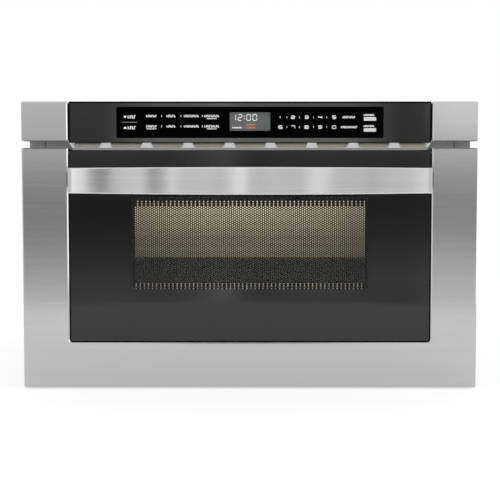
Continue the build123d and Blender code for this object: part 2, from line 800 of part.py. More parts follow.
# Fan wheel: pitched blades, each lofted from a root at the hub to a wider tip.
fan_middle_x = fan_inlet_x + fan_housing_depth / 2
blade_root_chord = 20.0
blade_tip_chord = 34.0
blade_twist = 12.0              # the tip lies flatter than the root by this many degrees
blade_root_depth = 4.0          # blade roots inside the hub
fan_hub_edge = 3.0
blade_tip_plane = sqrt(fan_radius ** 2 - (blade_tip_chord / 2) ** 2)

with BuildPart() as fan_wheel:
    with BuildSketch(side_plane(fan_middle_x - fan_depth / 2)):
        with Locations((fan_y, fan_z)):
            Circle(fan_hub_radius)
    extrude(amount=fan_depth)
    chamfer(fan_wheel.edges().group_by(Axis.X)[-1], fan_hub_edge)
    with BuildSketch(side_plane(fan_motor_face_x - fan_socket_depth + shaft_end_gap)):
        with Locations((fan_y, fan_z)):
            Circle(fan_shaft_radius)
    extrude(amount=fan_middle_x - fan_motor_face_x + fan_socket_depth - shaft_end_gap)
    for blade in range(fan_blades):
        turn = 360 * blade / fan_blades
        radial = Vector(0, cos(radians(turn)), sin(radians(turn)))
        across = Vector(0, -sin(radians(turn)), cos(radians(turn)))
        sections = []
        for radius, chord, pitch in (
            (fan_hub_radius - blade_root_depth, blade_root_chord, fan_blade_pitch),
            (blade_tip_plane, blade_tip_chord, fan_blade_pitch - blade_twist),
        ):
            chord_direction = across * cos(radians(pitch)) + Vector(1, 0, 0) * sin(radians(pitch))
            with BuildSketch(Plane(
                Vector(fan_middle_x, fan_y, fan_z) + radial * radius, x_dir=chord_direction, z_dir=radial
            )) as section:
                Rectangle(chord, fan_blade_sheet)
            sections.append(section.sketch)
        loft(sections)
write(fan_wheel, "fan_wheel")

# High-voltage transformer: laminated core on feet, with a primary and a secondary winding.
core_width = 96.0
core_depth = 76.0
core_height = 82.0
winding_bulge = 14.0
winding_height = 22.0
winding_width = 60.0
winding_low = 11.5              # windings above the core's foot
winding_high = 46.0
core_edge = 3.0
foot_sheet = 2.0
foot_width = 126.0
foot_inset = 5.0
transformer_side_gap = 32.5
transformer_rear_gap = 19.0
transformer_x = -wrap_inner_x + transformer_side_gap + foot_width / 2
transformer_y = rear_inner_y - transformer_rear_gap - winding_bulge - core_depth / 2

with BuildPart() as transformer:
    with BuildSketch(level_plane(base_sheet)):
        with Locations((transformer_x, transformer_y)):
            Rectangle(foot_width, core_depth - 2 * foot_inset)
    extrude(amount=foot_sheet)
    with BuildSketch(level_plane(base_sheet)):
        with Locations((transformer_x, transformer_y)):
            Rectangle(core_width, core_depth)
    extrude(amount=core_height)
    chamfer(transformer.edges().filter_by(Axis.Y).group_by(Axis.Z)[-1], core_edge)
    for winding_rise in (winding_low, winding_high):
        with BuildSketch(level_plane(base_sheet + winding_rise)):
            with Locations((transformer_x, transformer_y)):
                RectangleRounded(winding_width, core_depth + 2 * winding_bulge, winding_bulge - 2)
        extrude(amount=winding_height)
write(transformer, "transformer")

can_width = 54.0
can_depth = 34.0
can_height = 96.0
can_edge = 2.0
capacitor_x = 90.0
capacitor_rear_gap = 46.0
capacitor_y = rear_inner_y - capacitor_rear_gap - can_depth / 2
terminal_width = 6.3
terminal_sheet = 0.8
terminal_height = 10.0
strap_sheet = 1.5
strap_height = 14.0
strap_foot = 16.0

with BuildPart() as capacitor:
    with BuildSketch(level_plane(base_sheet)):
        with Locations((capacitor_x, capacitor_y)):
            SlotOverall(can_width, can_depth)
    extrude(amount=can_height)
    chamfer(capacitor.edges().group_by(Axis.Z)[-1], can_edge)
    with BuildSketch(level_plane(base_sheet + can_height)):
        with Locations((capacitor_x, capacitor_y)):
            with GridLocations(can_width / 2, 1, 2, 1):
                Rectangle(terminal_width, terminal_sheet)
    extrude(amount=terminal_height)
    with BuildSketch(level_plane(base_sheet + can_height / 3)):
        with Locations((capacitor_x, capacitor_y)):
            SlotOverall(can_width + 2 * strap_sheet, can_depth + 2 * strap_sheet)
    extrude(amount=strap_height)
    strap_front_y = capacitor_y - can_depth / 2 - strap_sheet
    with BuildSketch(level_plane(base_sheet)):
        rectangle_between(
            (capacitor_x - strap_height / 2, strap_front_y),
            (capacitor_x + strap_height / 2, capacitor_y - can_depth / 2),
        )
    extrude(amount=can_height / 3)
    with BuildSketch(level_plane(base_sheet)):
        rectangle_between(
            (capacitor_x - strap_height / 2, strap_front_y - strap_foot),
            (capacitor_x + strap_height / 2, strap_front_y),
        )
    extrude(amount=strap_sheet)
write(capacitor, "capacitor")

filter_board_width = 96.0
filter_board_depth = 72.0
board_sheet = 1.6
standoff_width = 6.0
standoff_height = 8.0
standoff_inset = 5.0            # standoffs in from the board's edges
filter_side_gap = 22.5
filter_rear_gap = 47.0
filter_x = wrap_inner_x - filter_side_gap - filter_board_width / 2
filter_y = rear_inner_y - filter_rear_gap - filter_board_depth / 2
choke_coil_radius = 15.0
choke_coil_core = 6.0
choke_coil_height = 12.0
choke_coil_x = filter_x - 22.0
choke_coil_y = filter_y + 6.0
film_capacitor_x = filter_x + 18.0
film_capacitor_height = 18.0

with BuildPart() as noise_filter:
    with BuildSketch(level_plane(base_sheet + standoff_height)):
        with Locations((filter_x, filter_y)):
            Rectangle(filter_board_width, filter_board_depth)
    extrude(amount=board_sheet)
    with BuildSketch(level_plane(base_sheet)):
        with Locations((filter_x, filter_y)):
            with GridLocations(
                filter_board_width - 2 * standoff_inset, filter_board_depth - 2 * standoff_inset, 2, 2
            ):
                Rectangle(standoff_width, standoff_width)
    extrude(amount=standoff_height)
    filter_top_z = base_sheet + standoff_height + board_sheet
    with BuildSketch(level_plane(filter_top_z)):
        with Locations((choke_coil_x, choke_coil_y)):
            Circle(choke_coil_radius)
            Circle(choke_coil_core, mode=Mode.SUBTRACT)
    extrude(amount=choke_coil_height)
    with BuildSketch(level_plane(filter_top_z)):
        with Locations((film_capacitor_x, filter_y + 12)):
            Rectangle(26, 14)
        with Locations((film_capacitor_x, filter_y - 14)):
            Rectangle(22, 8)
    extrude(amount=film_capacitor_height)
write(noise_filter, "noise_filter")

# ---------------------------------------------------------------- slides, drive and interlocks

def channel_between(web_x, lip_x, height, inner_lip):
    """A slide member's section in the open front sketch: a web at web_x and two lips towards lip_x."""
    direction = 1 if lip_x > web_x else -1
    inside_x = web_x + direction * rail_sheet
    half = height / 2
    inner = half - rail_sheet
    hook = inner - inner_lip
    lower = [
        (inside_x, rail_centre_z - inner),
        (lip_x - direction * rail_sheet, rail_centre_z - inner),
        (lip_x - direction * rail_sheet, rail_centre_z - hook),
        (lip_x, rail_centre_z - hook),
        (lip_x, rail_centre_z - half),
        (web_x, rail_centre_z - half),
    ]
    upper = [(x, 2 * rail_centre_z - z) for x, z in reversed(lower)]
    Polygon(*lower, *upper, align=None)


rail_rear_y = rail_setback + rail_length
outer_lip_x = rail_inner_x + rail_lip_clearance
middle_web_x = rail_outer_x - rail_sheet - rail_lip_clearance
middle_lip_x = rail_inner_x + rail_sheet + 2 * rail_lip_clearance
inner_lip_x = middle_web_x - rail_sheet - rail_lip_clearance
track_lip = 2.0                 # the middle member's lips turn in by this much
outer_track_lip = 0.6           # and the outer member's

with BuildPart() as rail_outer:
    with BuildSketch(front_plane(rail_rear_y)):
        channel_between(rail_outer_x, outer_lip_x, rail_height, inner_lip=outer_track_lip)
    extrude(amount=rail_length)
write_pair(rail_outer, "rail_outer")

with BuildPart() as rail_middle:
    with BuildSketch(front_plane(rail_rear_y)):
        channel_between(middle_web_x, middle_lip_x, rail_middle_height, inner_lip=track_lip)
    extrude(amount=rail_length)
write_pair(rail_middle, "rail_middle")

with BuildPart() as rail_inner:
    with BuildSketch(front_plane(rail_rear_y)):
        channel_between(rail_inner_x, inner_lip_x, rail_inner_height, inner_lip=0)
    extrude(amount=rail_length)
write_pair(rail_inner, "rail_inner")

# Drawer arms: angle sections outside the cavity that join the slides to the door and carry the racks.
arm_top_z = arm_bottom_z + arm_height
arm_tab_slope = 30.0

with BuildPart() as drawer_arm:
    with BuildSketch(front_plane(rail_rear_y)):
        with BuildLine():
            Polyline(
                (rail_inner_x, arm_bottom_z),
                (rail_inner_x, arm_top_z),
                (arm_inner_x, arm_top_z),
                (arm_inner_x, arm_bottom_z + arm_sheet),
                (arm_flange_x, arm_bottom_z + arm_sheet),
                (arm_flange_x, arm_bottom_z),
                close=True,
            )
        make_face()
    extrude(amount=rail_rear_y - door_back_y)
    with BuildSketch(front_plane(door_back_y + arm_sheet)):
        rectangle_between((arm_flange_x, arm_bottom_z), (rail_inner_x, arm_top_z))
    extrude(amount=arm_sheet)
    with BuildSketch(side_plane(arm_inner_x)):
        with BuildLine():
            Polyline(
                (rail_rear_y, arm_top_z),
                (rail_rear_y, arm_top_z - arm_tab_slope),
                (rail_rear_y - 2 * arm_tab_slope, arm_top_z),
                close=True,
            )
        make_face()
    extrude(amount=arm_sheet, mode=Mode.SUBTRACT)
write_pair(drawer_arm, "drawer_arm")

# Racks: straight-sided teeth under the arms' flanges, with a gap over each pinion's top tooth.
rack_pitch = pi * gear_module
rack_front_y = shaft_setback - 2 * rack_pitch
rack_teeth = ceil(drawer_travel / rack_pitch) + 4
rack_tip_z = rack_pitch_z - addendum * gear_module
flank_tan = tan(radians(pressure_angle))
tip_half = rack_pitch / 4 - addendum * gear_module * flank_tan
root_half = rack_pitch / 4 + dedendum * gear_module * flank_tan
rack_rear_y = rack_front_y + rack_teeth * rack_pitch

with BuildPart() as drive_rack:
    with BuildSketch(side_plane(rack_middle_x - rack_width / 2)):
        rack_line = [(rack_front_y, arm_bottom_z), (rack_front_y, rack_root_z)]
        for tooth in range(rack_teeth):
            tooth_y = rack_front_y + (tooth + 0.5) * rack_pitch
            rack_line += [
                (tooth_y - root_half, rack_root_z),
                (tooth_y - tip_half, rack_tip_z),
                (tooth_y + tip_half, rack_tip_z),
                (tooth_y + root_half, rack_root_z),
            ]
        rack_line += [(rack_rear_y, rack_root_z), (rack_rear_y, arm_bottom_z)]
        with BuildLine():
            Polyline(*rack_line, close=True)
        make_face()
    extrude(amount=rack_width)
write_pair(drive_rack, "drive_rack")

# Cross shaft: two pinions under the racks and the driven gear beside the motor, on one shaft.
shaft_overhang = 2.0            # shaft ends past the arms' outer faces
shaft_edge = 0.6
driven_gear_inset = 52.3        # driven gear in from the right-hand pinion
shaft_half = rail_inner_x + shaft_overhang
driven_gear_x = rack_middle_x - driven_gear_inset
driven_radius = drive_module * driven_gear_teeth / 2
motor_gear_radius = drive_module * motor_gear_teeth / 2
drive_centres = driven_radius + motor_gear_radius
motor_gear_y = shaft_setback + drive_centres * cos(radians(motor_gear_angle))
motor_gear_z = shaft_z + drive_centres * sin(radians(motor_gear_angle))
gear_hub_radius = 6.5
gear_hub_length = 4.0

with BuildPart() as drive_shaft:
    with BuildSketch(side_plane(-shaft_half)):
        with Locations((shaft_setback, shaft_z)):
            Circle(shaft_radius)
    extrude(amount=2 * shaft_half)
    chamfer(drive_shaft.edges().filter_by(GeomType.CIRCLE), shaft_edge)
    for sign in (-1, 1):
        with BuildSketch(side_plane(sign * rack_middle_x - gear_width / 2)):
            with Locations((shaft_setback, shaft_z)):
                gear_profile(gear_module, pinion_teeth, phase=90)
        extrude(amount=gear_width)
    with BuildSketch(side_plane(driven_gear_x - drive_gear_width / 2)):
        with Locations((shaft_setback, shaft_z)):
            gear_profile(drive_module, driven_gear_teeth, phase=motor_gear_angle)
    extrude(amount=drive_gear_width)
    with BuildSketch(side_plane(driven_gear_x - drive_gear_width / 2 - gear_hub_length)):
        with Locations((shaft_setback, shaft_z)):
            Circle(gear_hub_radius)
    extrude(amount=drive_gear_width + 2 * gear_hub_length)
write(drive_shaft, "drive_shaft")

motor_shaft_radius = 3.0
motor_shaft_overhang = 3.0      # past the motor gear
motor_gear_gap = 6.0            # between the motor gear and its bracket
motor_face_x = driven_gear_x - drive_gear_width / 2 - motor_gear_gap
motor_socket_depth = 12.0
motor_gear_phase = motor_gear_angle + 180 + 180 / motor_gear_teeth    # a gap faces the driven gear
motor_shaft_start_x = motor_face_x - motor_socket_depth + shaft_end_gap
motor_shaft_end_x = driven_gear_x + drive_gear_width / 2 + motor_shaft_overhang

with BuildPart() as motor_gear:
    with BuildSketch(side_plane(driven_gear_x - drive_gear_width / 2)):
        with Locations((motor_gear_y, motor_gear_z)):
            gear_profile(drive_module, motor_gear_teeth, phase=motor_gear_phase)
    extrude(amount=drive_gear_width)
    with BuildSketch(side_plane(motor_shaft_start_x)):
        with Locations((motor_gear_y, motor_gear_z)):
            Circle(motor_shaft_radius)
    extrude(amount=motor_shaft_end_x - motor_shaft_start_x)
write(motor_gear, "motor_gear")

# Gear motor: a gearbox with the motor beside it along the cross shaft, on an angle bracket.
gearbox_length = 28.0
gearbox_rear = 40.0             # gearbox behind the motor gear's axis
gearbox_height = 46.0
gearbox_front_gap = 4.0         # between the cross shaft and the gearbox
motor_radius = 17.0
motor_length = 58.0
motor_bracket_sheet = 2.0
motor_inset = 4.0               # motor's can inside the gearbox's rear edge
gearbox_edge = 4.0
gearbox_front_y = shaft_setback + shaft_radius + gearbox_front_gap
gearbox_rear_y = motor_gear_y + gearbox_rear
motor_body_y = gearbox_rear_y - motor_radius - motor_inset
gearbox_face_x = motor_face_x - motor_bracket_sheet

with BuildPart() as drawer_motor:
    with BuildSketch(side_plane(gearbox_face_x)):
        rectangle_between(
            (gearbox_front_y, motor_gear_z - gearbox_height / 2),
            (gearbox_rear_y, motor_gear_z + gearbox_height / 2),
            radius=gearbox_edge,
        )
    extrude(amount=-gearbox_length)
    with BuildSketch(side_plane(gearbox_face_x - gearbox_length)):
        with Locations((motor_body_y, motor_gear_z)):
            Circle(motor_radius)
    extrude(amount=-motor_length)
    chamfer(drawer_motor.edges().group_by(Axis.X)[0], motor_edge)
    with BuildSketch(side_plane(gearbox_face_x)):
        with Locations((motor_gear_y, motor_gear_z)):
            Circle(motor_shaft_radius + bush_clearance)
    extrude(amount=-motor_socket_depth, mode=Mode.SUBTRACT)
write(drawer_motor, "drawer_motor")

motor_foot = 24.0
motor_shaft_hole = motor_shaft_radius + 2.0

with BuildPart() as motor_bracket:
    with BuildSketch(side_plane(gearbox_face_x)):
        rectangle_between(
            (gearbox_front_y, base_sheet), (gearbox_rear_y, motor_gear_z + gearbox_height / 2)
        )
        with Locations((motor_gear_y, motor_gear_z)):
            Circle(motor_shaft_hole, mode=Mode.SUBTRACT)
    extrude(amount=motor_bracket_sheet)
    with BuildSketch(level_plane(base_sheet)):
        rectangle_between((gearbox_face_x - motor_foot, gearbox_front_y), (gearbox_face_x, gearbox_rear_y))
    extrude(amount=motor_bracket_sheet)
write(motor_bracket, "motor_bracket")

# Shaft brackets: two uprights on the base beside the pinions, each with a flanged bush.
bracket_sheet = 3.0
bracket_foot = 16.0
bracket_width = 26.0
bracket_gap = 2.5               # between a bracket's bush and its pinion
bush_length = 7.0
bush_outer_radius = 6.5
bush_flange_radius = 8.5
bush_flange = 1.2
pinion_inner_x = rack_middle_x - gear_width / 2
bush_end_x = pinion_inner_x - bracket_gap
bracket_x = bush_end_x - bush_flange - bracket_sheet

with BuildPart() as shaft_brackets:
    with BuildSketch(side_plane(bracket_x)):
        rectangle_between(
            (shaft_setback - bracket_width / 2, base_sheet), (shaft_setback + bracket_width / 2, shaft_z)
        )
        with Locations((shaft_setback, shaft_z)):
            Circle(bracket_width / 2)
            Circle(bush_outer_radius, mode=Mode.SUBTRACT)
    extrude(amount=bracket_sheet)
    with BuildSketch(level_plane(base_sheet)):
        rectangle_between(
            (bracket_x - bracket_foot, shaft_setback - bracket_width / 2),
            (bracket_x, shaft_setback + bracket_width / 2),
        )
    extrude(amount=bracket_sheet)
    mirror(about=Plane.YZ)
write(shaft_brackets, "shaft_brackets")

with BuildPart() as shaft_bushes:
    with BuildSketch(side_plane(bush_end_x - bush_length)):
        with Locations((shaft_setback, shaft_z)):
            Circle(bush_outer_radius)
    extrude(amount=bush_length)
    with BuildSketch(side_plane(bush_end_x - bush_flange)):
        with Locations((shaft_setback, shaft_z)):
            Circle(bush_flange_radius)
    extrude(amount=bush_flange)
    with BuildSketch(side_plane(bush_end_x - bush_length)):
        with Locations((shaft_setback, shaft_z)):
            Circle(shaft_radius + bush_clearance)
    extrude(amount=bush_length, mode=Mode.SUBTRACT)
    mirror(about=Plane.YZ)
write(shaft_bushes, "shaft_bushes")

# Interlocks: a hook on each side of the door holds down the plunger of a switch behind the front frame.
hook_sheet = 2.0
hook_length = 28.0
hook_nose = 6.0                 # slope under the hook's front end
hook_barb = 10.0
hook_notch = 8.0
switch_width = 10.0
switch_length = 30.0
switch_height = 16.0
plunger_radius = 1.6
plunger_gap = 0.3               # plunger top below the hook when the drawer is closed
plunger_length = 8.0
plunger_stick_out = 2.2
switch_setback = 3.0
plunger_inset = 8.0             # plunger behind the switch's front
plunger_end_gap = 1.0
plunger_y = switch_setback + plunger_inset
switch_top_z = hook_bottom_z - plunger_gap - plunger_stick_out
latch_top_z = hook_bottom_z + hook_height

with BuildPart() as latch_hooks:
    with BuildSketch(side_plane(hook_x - hook_sheet / 2)):
        with BuildLine():
            Polyline(
                (door_back_y, hook_bottom_z),
                (hook_length - hook_nose, hook_bottom_z),
                (hook_length, hook_bottom_z + hook_nose),
                (hook_length - hook_barb / 2, latch_top_z),
                (hook_length - hook_barb, latch_top_z),
                (hook_length - hook_barb, latch_top_z - hook_notch),
                (hook_length - hook_barb - hook_notch, latch_top_z - hook_notch),
                (door_back_y, latch_top_z - hook_notch / 2),
                close=True,
            )
        make_face()
    extrude(amount=hook_sheet)
    mirror(about=Plane.YZ)
write(latch_hooks, "latch_hooks")

# Each switch stands on a bracket of its own, fixed to the back of the front frame.
switch_bracket_sheet = 1.5
switch_bracket_foot = 8.0
switch_bottom_z = switch_top_z - switch_height

with BuildPart() as interlock_switches:
    with BuildSketch(side_plane(hook_x - switch_width / 2)):
        rectangle_between(
            (switch_setback, switch_bottom_z), (switch_setback + switch_length, switch_top_z)
        )
    extrude(amount=switch_width)
    with BuildSketch(side_plane(hook_x + switch_width / 2)):
        with BuildLine():
            Polyline(
                (0, switch_bottom_z - switch_bracket_foot),
                (switch_bracket_sheet, switch_bottom_z - switch_bracket_foot),
                (switch_bracket_sheet, switch_bottom_z),
                (switch_setback + switch_length, switch_bottom_z),
                (switch_setback + switch_length, switch_top_z),
                (0, switch_top_z),
                close=True,
            )
        make_face()
    extrude(amount=switch_bracket_sheet)
    with BuildSketch(level_plane(switch_top_z)):
        with Locations((hook_x, plunger_y)):
            Circle(plunger_radius + bush_clearance)
    extrude(amount=-plunger_length, mode=Mode.SUBTRACT)
    mirror(about=Plane.YZ)
write(interlock_switches, "interlock_switches")

with BuildPart() as interlock_plunger:
    with BuildSketch(level_plane(switch_top_z + plunger_stick_out)):
        with Locations((hook_x, plunger_y)):
            Circle(plunger_radius)
    extrude(amount=-(plunger_length + plunger_stick_out - plunger_end_gap))
    chamfer(interlock_plunger.edges().group_by(Axis.Z)[-1], plunger_radius / 2)
write_pair(interlock_plunger, "interlock_plunger")

# ---------------------------------------------------------------- drawer front

door_return_gap = 1.8           # trim's outer return to the door frame
trim_setback = 2.0              # trim's rear edge in front of the door frame's back
trim_back_y = door_back_y - trim_setback
trim_cover_y = face_y + trim_sheet
support_inset = 2.0             # glass seat inside the glass's edge
lip_gap = 0.6                   # behind and beside the trim's inner lip
lip_back_y = face_y + lip_depth + lip_gap
pocket_half = stile_inner_x + trim_sheet + lip_gap
screen_flange = 8.0

with BuildPart() as front_trim:
    with BuildSketch(front_plane(trim_back_y)):
        rectangle_between((-face_half, shelf_clearance), (face_half, stile_top_z), radius=outer_corner_radius)
        rectangle_between(
            (-stile_inner_x, rail_top_z), (stile_inner_x, stile_top_z + trim_corner_radius),
            radius=trim_corner_radius, mode=Mode.SUBTRACT,
        )
    extrude(amount=trim_back_y - face_y)
    chamfer(front_trim.faces().sort_by(Axis.Y)[0].edges(), trim_bevel)
    offset(amount=-trim_sheet, openings=front_trim.faces().sort_by(Axis.Y)[-1])
    with BuildSketch(front_plane(trim_back_y)):
        rectangle_between(
            (-stile_inner_x - trim_sheet, rail_top_z - trim_sheet),
            (stile_inner_x + trim_sheet, stile_top_z - trim_sheet),
            radius=trim_corner_radius,
        )
        rectangle_between(
            (-stile_inner_x - trim_sheet, stile_top_z - trim_corner_radius - trim_sheet),
            (stile_inner_x + trim_sheet, stile_top_z),
        )
    extrude(amount=trim_back_y - face_y - lip_depth, mode=Mode.SUBTRACT)
write(front_trim, "front_trim")

glass_corner_radius = 2.5
glass_edge = 0.6

with BuildPart() as door_glass:
    with BuildSketch(front_plane(glass_back_y)):
        rectangle_between(
            (-glass_half, glass_bottom_z), (glass_half, glass_top_z), radius=glass_corner_radius
        )
    extrude(amount=glass_thickness)
    chamfer(door_glass.faces().sort_by(Axis.Y)[0].edges(), glass_edge)
write(door_glass, "door_glass")

# Door frame: a pressed pan, open to the front, with a seat for the glass and a tunnel round the window.
pan_half = face_half - trim_sheet - door_return_gap
pan_bottom_z = shelf_clearance + trim_sheet + door_return_gap
pan_drop = 1.4                  # pan's top edge below the glass's
pan_top_z = glass_top_z - pan_drop
pan_corner_radius = 2.0
window_radius = 3.0


def window_outline(grow, mode=Mode.ADD):
    """The window's outline in the open front sketch, larger by grow on every side."""
    rectangle_between(
        (-window_width / 2 - grow, window_bottom_z - grow), (window_width / 2 + grow, window_top_z + grow),
        radius=window_radius + grow, mode=mode,
    )


def glass_seat_outline(inset, mode=Mode.ADD):
    """The glass's outline in the open front sketch, smaller by inset on every side."""
    rectangle_between(
        (-glass_half + inset, glass_bottom_z + inset), (glass_half - inset, pan_top_z - inset), mode=mode
    )


with BuildPart() as drawer_frame:
    with BuildSketch(front_plane(door_back_y)):
        rectangle_between((-pan_half, pan_bottom_z), (pan_half, pan_top_z), radius=pan_corner_radius)
    extrude(amount=door_back_y - trim_cover_y)
    offset(amount=-door_sheet, openings=drawer_frame.faces().sort_by(Axis.Y)[0])
    with BuildSketch(front_plane(lip_back_y)):
        rectangle_between((-pocket_half, rail_top_z - trim_sheet), (pocket_half, stile_top_z))
    extrude(amount=lip_depth, mode=Mode.SUBTRACT)
    with BuildSketch(front_plane(door_back_y)):
        glass_seat_outline(support_inset)
        glass_seat_outline(support_inset + door_sheet, mode=Mode.SUBTRACT)
    extrude(amount=door_back_y - glass_back_y)
    with BuildSketch(front_plane(door_back_y)):
        window_outline(door_sheet)
    extrude(amount=door_back_y - screen_y)
    with BuildSketch(front_plane(screen_y + door_sheet)):
        window_outline(screen_flange)
    extrude(amount=door_sheet)
    with BuildSketch(front_plane(door_back_y)):
        window_outline(0)
    extrude(amount=door_back_y - screen_y, mode=Mode.SUBTRACT)
write(drawer_frame, "drawer_frame")

with BuildPart() as window_screen:
    with BuildSketch(front_plane(screen_y)):
        window_outline(screen_border)
    extrude(amount=screen_sheet)
write(window_screen, "window_screen")

with BuildPart() as inner_window:
    with BuildSketch(front_plane(screen_y + inner_window_thickness)):
        window_outline(0)
    extrude(amount=inner_window_thickness)
write(inner_window, "inner_window")

# Choke cover: a moulded channel on the door's back, inside the cavity's mouth.
choke_edge = 3.0
choke_clearance = 2.0           # between the tub and the choke cover

with BuildPart() as choke_cover:
    with BuildSketch(front_plane(door_back_y + choke_depth)):
        window_outline(choke_border)
        window_outline(0, mode=Mode.SUBTRACT)
    extrude(amount=choke_depth)
    chamfer(choke_cover.faces().sort_by(Axis.Y)[-1].outer_wire().edges(), choke_edge)
    with BuildSketch(front_plane(door_back_y + choke_depth - choke_wall)):
        window_outline(choke_border - choke_wall - choke_edge)
        window_outline(choke_wall, mode=Mode.SUBTRACT)
    extrude(amount=choke_depth, mode=Mode.SUBTRACT)
write(choke_cover, "choke_cover")

# Handle: a bowed bar, a little taller in the middle, on two posts.
handle_face_y = face_y - handle_reach
handle_end_y = face_y - handle_end_reach
handle_half = stile_inner_x - handle_end_gap
handle_middle_z = glass_top_z - handle_drop
handle_edge = 1.0

with BuildPart() as handle_bar:
    with BuildSketch(level_plane(handle_middle_z - handle_height / 2)):
        with BuildLine():
            ThreePointArc((-handle_half, handle_end_y), (0, handle_face_y), (handle_half, handle_end_y))
            Line((handle_half, handle_end_y), (handle_half, handle_end_y + handle_thickness))
            ThreePointArc(
                (handle_half, handle_end_y + handle_thickness),
                (0, handle_face_y + handle_thickness),
                (-handle_half, handle_end_y + handle_thickness),
            )
            Line((-handle_half, handle_end_y + handle_thickness), (-handle_half, handle_end_y))
        make_face()
    extrude(amount=handle_height)
    with BuildSketch(front_plane(face_y)):
        with BuildLine():
            ThreePointArc(
                (-handle_half, handle_middle_z + handle_end_height / 2),
                (0, handle_middle_z + handle_height / 2),
                (handle_half, handle_middle_z + handle_end_height / 2),
            )
            Line((handle_half, handle_middle_z + handle_end_height / 2),
                 (handle_half, handle_middle_z - handle_end_height / 2))
            ThreePointArc(
                (handle_half, handle_middle_z - handle_end_height / 2),
                (0, handle_middle_z - handle_height / 2),
                (-handle_half, handle_middle_z - handle_end_height / 2),
            )
            Line((-handle_half, handle_middle_z - handle_end_height / 2),
                 (-handle_half, handle_middle_z + handle_end_height / 2))
        make_face()
    extrude(amount=2 * handle_reach, mode=Mode.INTERSECT)
    chamfer(handle_bar.faces().sort_by(Axis.Y)[0].edges(), handle_edge)
write(handle_bar, "handle_bar")

# Posts: from the glass to the back of the bar, waisted in plan.
bow_depth = handle_reach - handle_end_reach
bow_radius = (handle_half ** 2 + bow_depth ** 2) / (2 * bow_depth)
post_x = post_spacing / 2
bar_front_y = handle_face_y + bow_radius - sqrt(bow_radius ** 2 - post_x ** 2)
post_end_y = bar_front_y + handle_thickness / 2
post_foot_width = 26.0
post_waist = 2.0

with BuildPart() as handle_posts:
    with BuildSketch(level_plane(handle_middle_z - post_height / 2)):
        waist_y = (glass_front_y + post_end_y) / 2
        foot = post_foot_width / 2
        neck = post_width / 2
        with BuildLine():
            Line((post_x - foot, glass_front_y), (post_x + foot, glass_front_y))
            ThreePointArc(
                (post_x + foot, glass_front_y),
                (post_x + neck - post_waist, waist_y),
                (post_x + neck, post_end_y),
            )
            Line((post_x + neck, post_end_y), (post_x - neck, post_end_y))
            ThreePointArc(
                (post_x - neck, post_end_y),
                (post_x - neck + post_waist, waist_y),
                (post_x - foot, glass_front_y),
            )
        make_face()
    extrude(amount=post_height)
    mirror(about=Plane.YZ)
    add(handle_bar.part, mode=Mode.SUBTRACT)
write(handle_posts, "handle_posts")

# Drawer tub: a folded sheet box with rounded corners, low in front, hung from the door's back.
tub_top_z = tub_floor_z + tub_wall_height
tub_bend = 4.0                  # along the bottom edges
tub_straight_y = door_back_y + 2 * tub_corner_radius

with BuildPart() as drawer_tub:
    with BuildSketch(level_plane(tub_floor_z)):
        rectangle_between((-tub_half, door_back_y), (tub_half, tub_rear_y), radius=tub_corner_radius)
        rectangle_between((-tub_half, door_back_y), (tub_half, tub_straight_y))
    extrude(amount=tub_wall_height)
    chamfer(drawer_tub.edges().group_by(Axis.Z)[0], tub_bend)
    offset(amount=-tub_sheet, openings=drawer_tub.faces().sort_by(Axis.Z)[-1])
    with BuildSketch(level_plane(tub_top_z - tub_sheet)):
        rectangle_between(
            (-tub_half - tub_rim, door_back_y), (tub_half + tub_rim, tub_rear_y + tub_rim),
            radius=tub_corner_radius + tub_rim,
        )
        rectangle_between(
            (-tub_half - tub_rim, door_back_y), (tub_half + tub_rim, tub_straight_y + 2 * tub_rim)
        )
        rectangle_between(
            (-tub_half + tub_sheet, door_back_y - tub_rim), (tub_half - tub_sheet, tub_rear_y - tub_sheet),
            radius=tub_corner_radius - tub_sheet, mode=Mode.SUBTRACT,
        )
        rectangle_between(
            (-tub_half + tub_sheet, door_back_y), (tub_half - tub_sheet, tub_straight_y), mode=Mode.SUBTRACT
        )
    extrude(amount=tub_sheet)
    with BuildSketch(front_plane(door_back_y + 2 * tub_sheet)):
        rectangle_between(
            (-tub_half + tub_sheet, tub_floor_z + tub_front_height), (tub_half - tub_sheet, tub_top_z)
        )
    extrude(amount=2 * tub_sheet, mode=Mode.SUBTRACT)
    with BuildSketch(front_plane(door_back_y + choke_depth + tray_gap)):
        rectangle_between(
            (-tub_half - tub_rim, window_bottom_z - choke_border - choke_clearance),
            (tub_half + tub_rim, tub_top_z),
        )
    extrude(amount=choke_depth + tray_gap, mode=Mode.SUBTRACT)
write(drawer_tub, "drawer_tub")

tray_bottom_z = tub_floor_z + tub_sheet
tray_top_z = tray_bottom_z + tray_thickness
tray_rim = 9.0
tray_recess = 1.2
tray_foot_edge = 3.0
tray_edge = 0.8
tray_half = tub_half - tub_sheet - tray_gap

with BuildPart() as ceramic_tray:
    with BuildSketch(level_plane(tray_bottom_z)):
        rectangle_between(
            (-tray_half, door_back_y + tub_sheet + tray_gap), (tray_half, tub_rear_y - tub_sheet - tray_gap),
            radius=tray_corner_radius,
        )
    extrude(amount=tray_thickness)
    chamfer(ceramic_tray.edges().group_by(Axis.Z)[0], tray_foot_edge)
    with BuildSketch(level_plane(tray_top_z)):
        rectangle_between(
            (-tray_half + tray_rim, door_back_y + tub_sheet + tray_gap + tray_rim),
            (tray_half - tray_rim, tub_rear_y - tub_sheet - tray_gap - tray_rim),
            radius=tray_corner_radius / 2,
        )
    extrude(amount=-tray_recess, mode=Mode.SUBTRACT, taper=45)
    chamfer(ceramic_tray.faces().sort_by(Axis.Z)[-1].outer_wire().edges(), tray_edge)
write(ceramic_tray, "ceramic_tray")

# ---------------------------------------------------------------- control panel

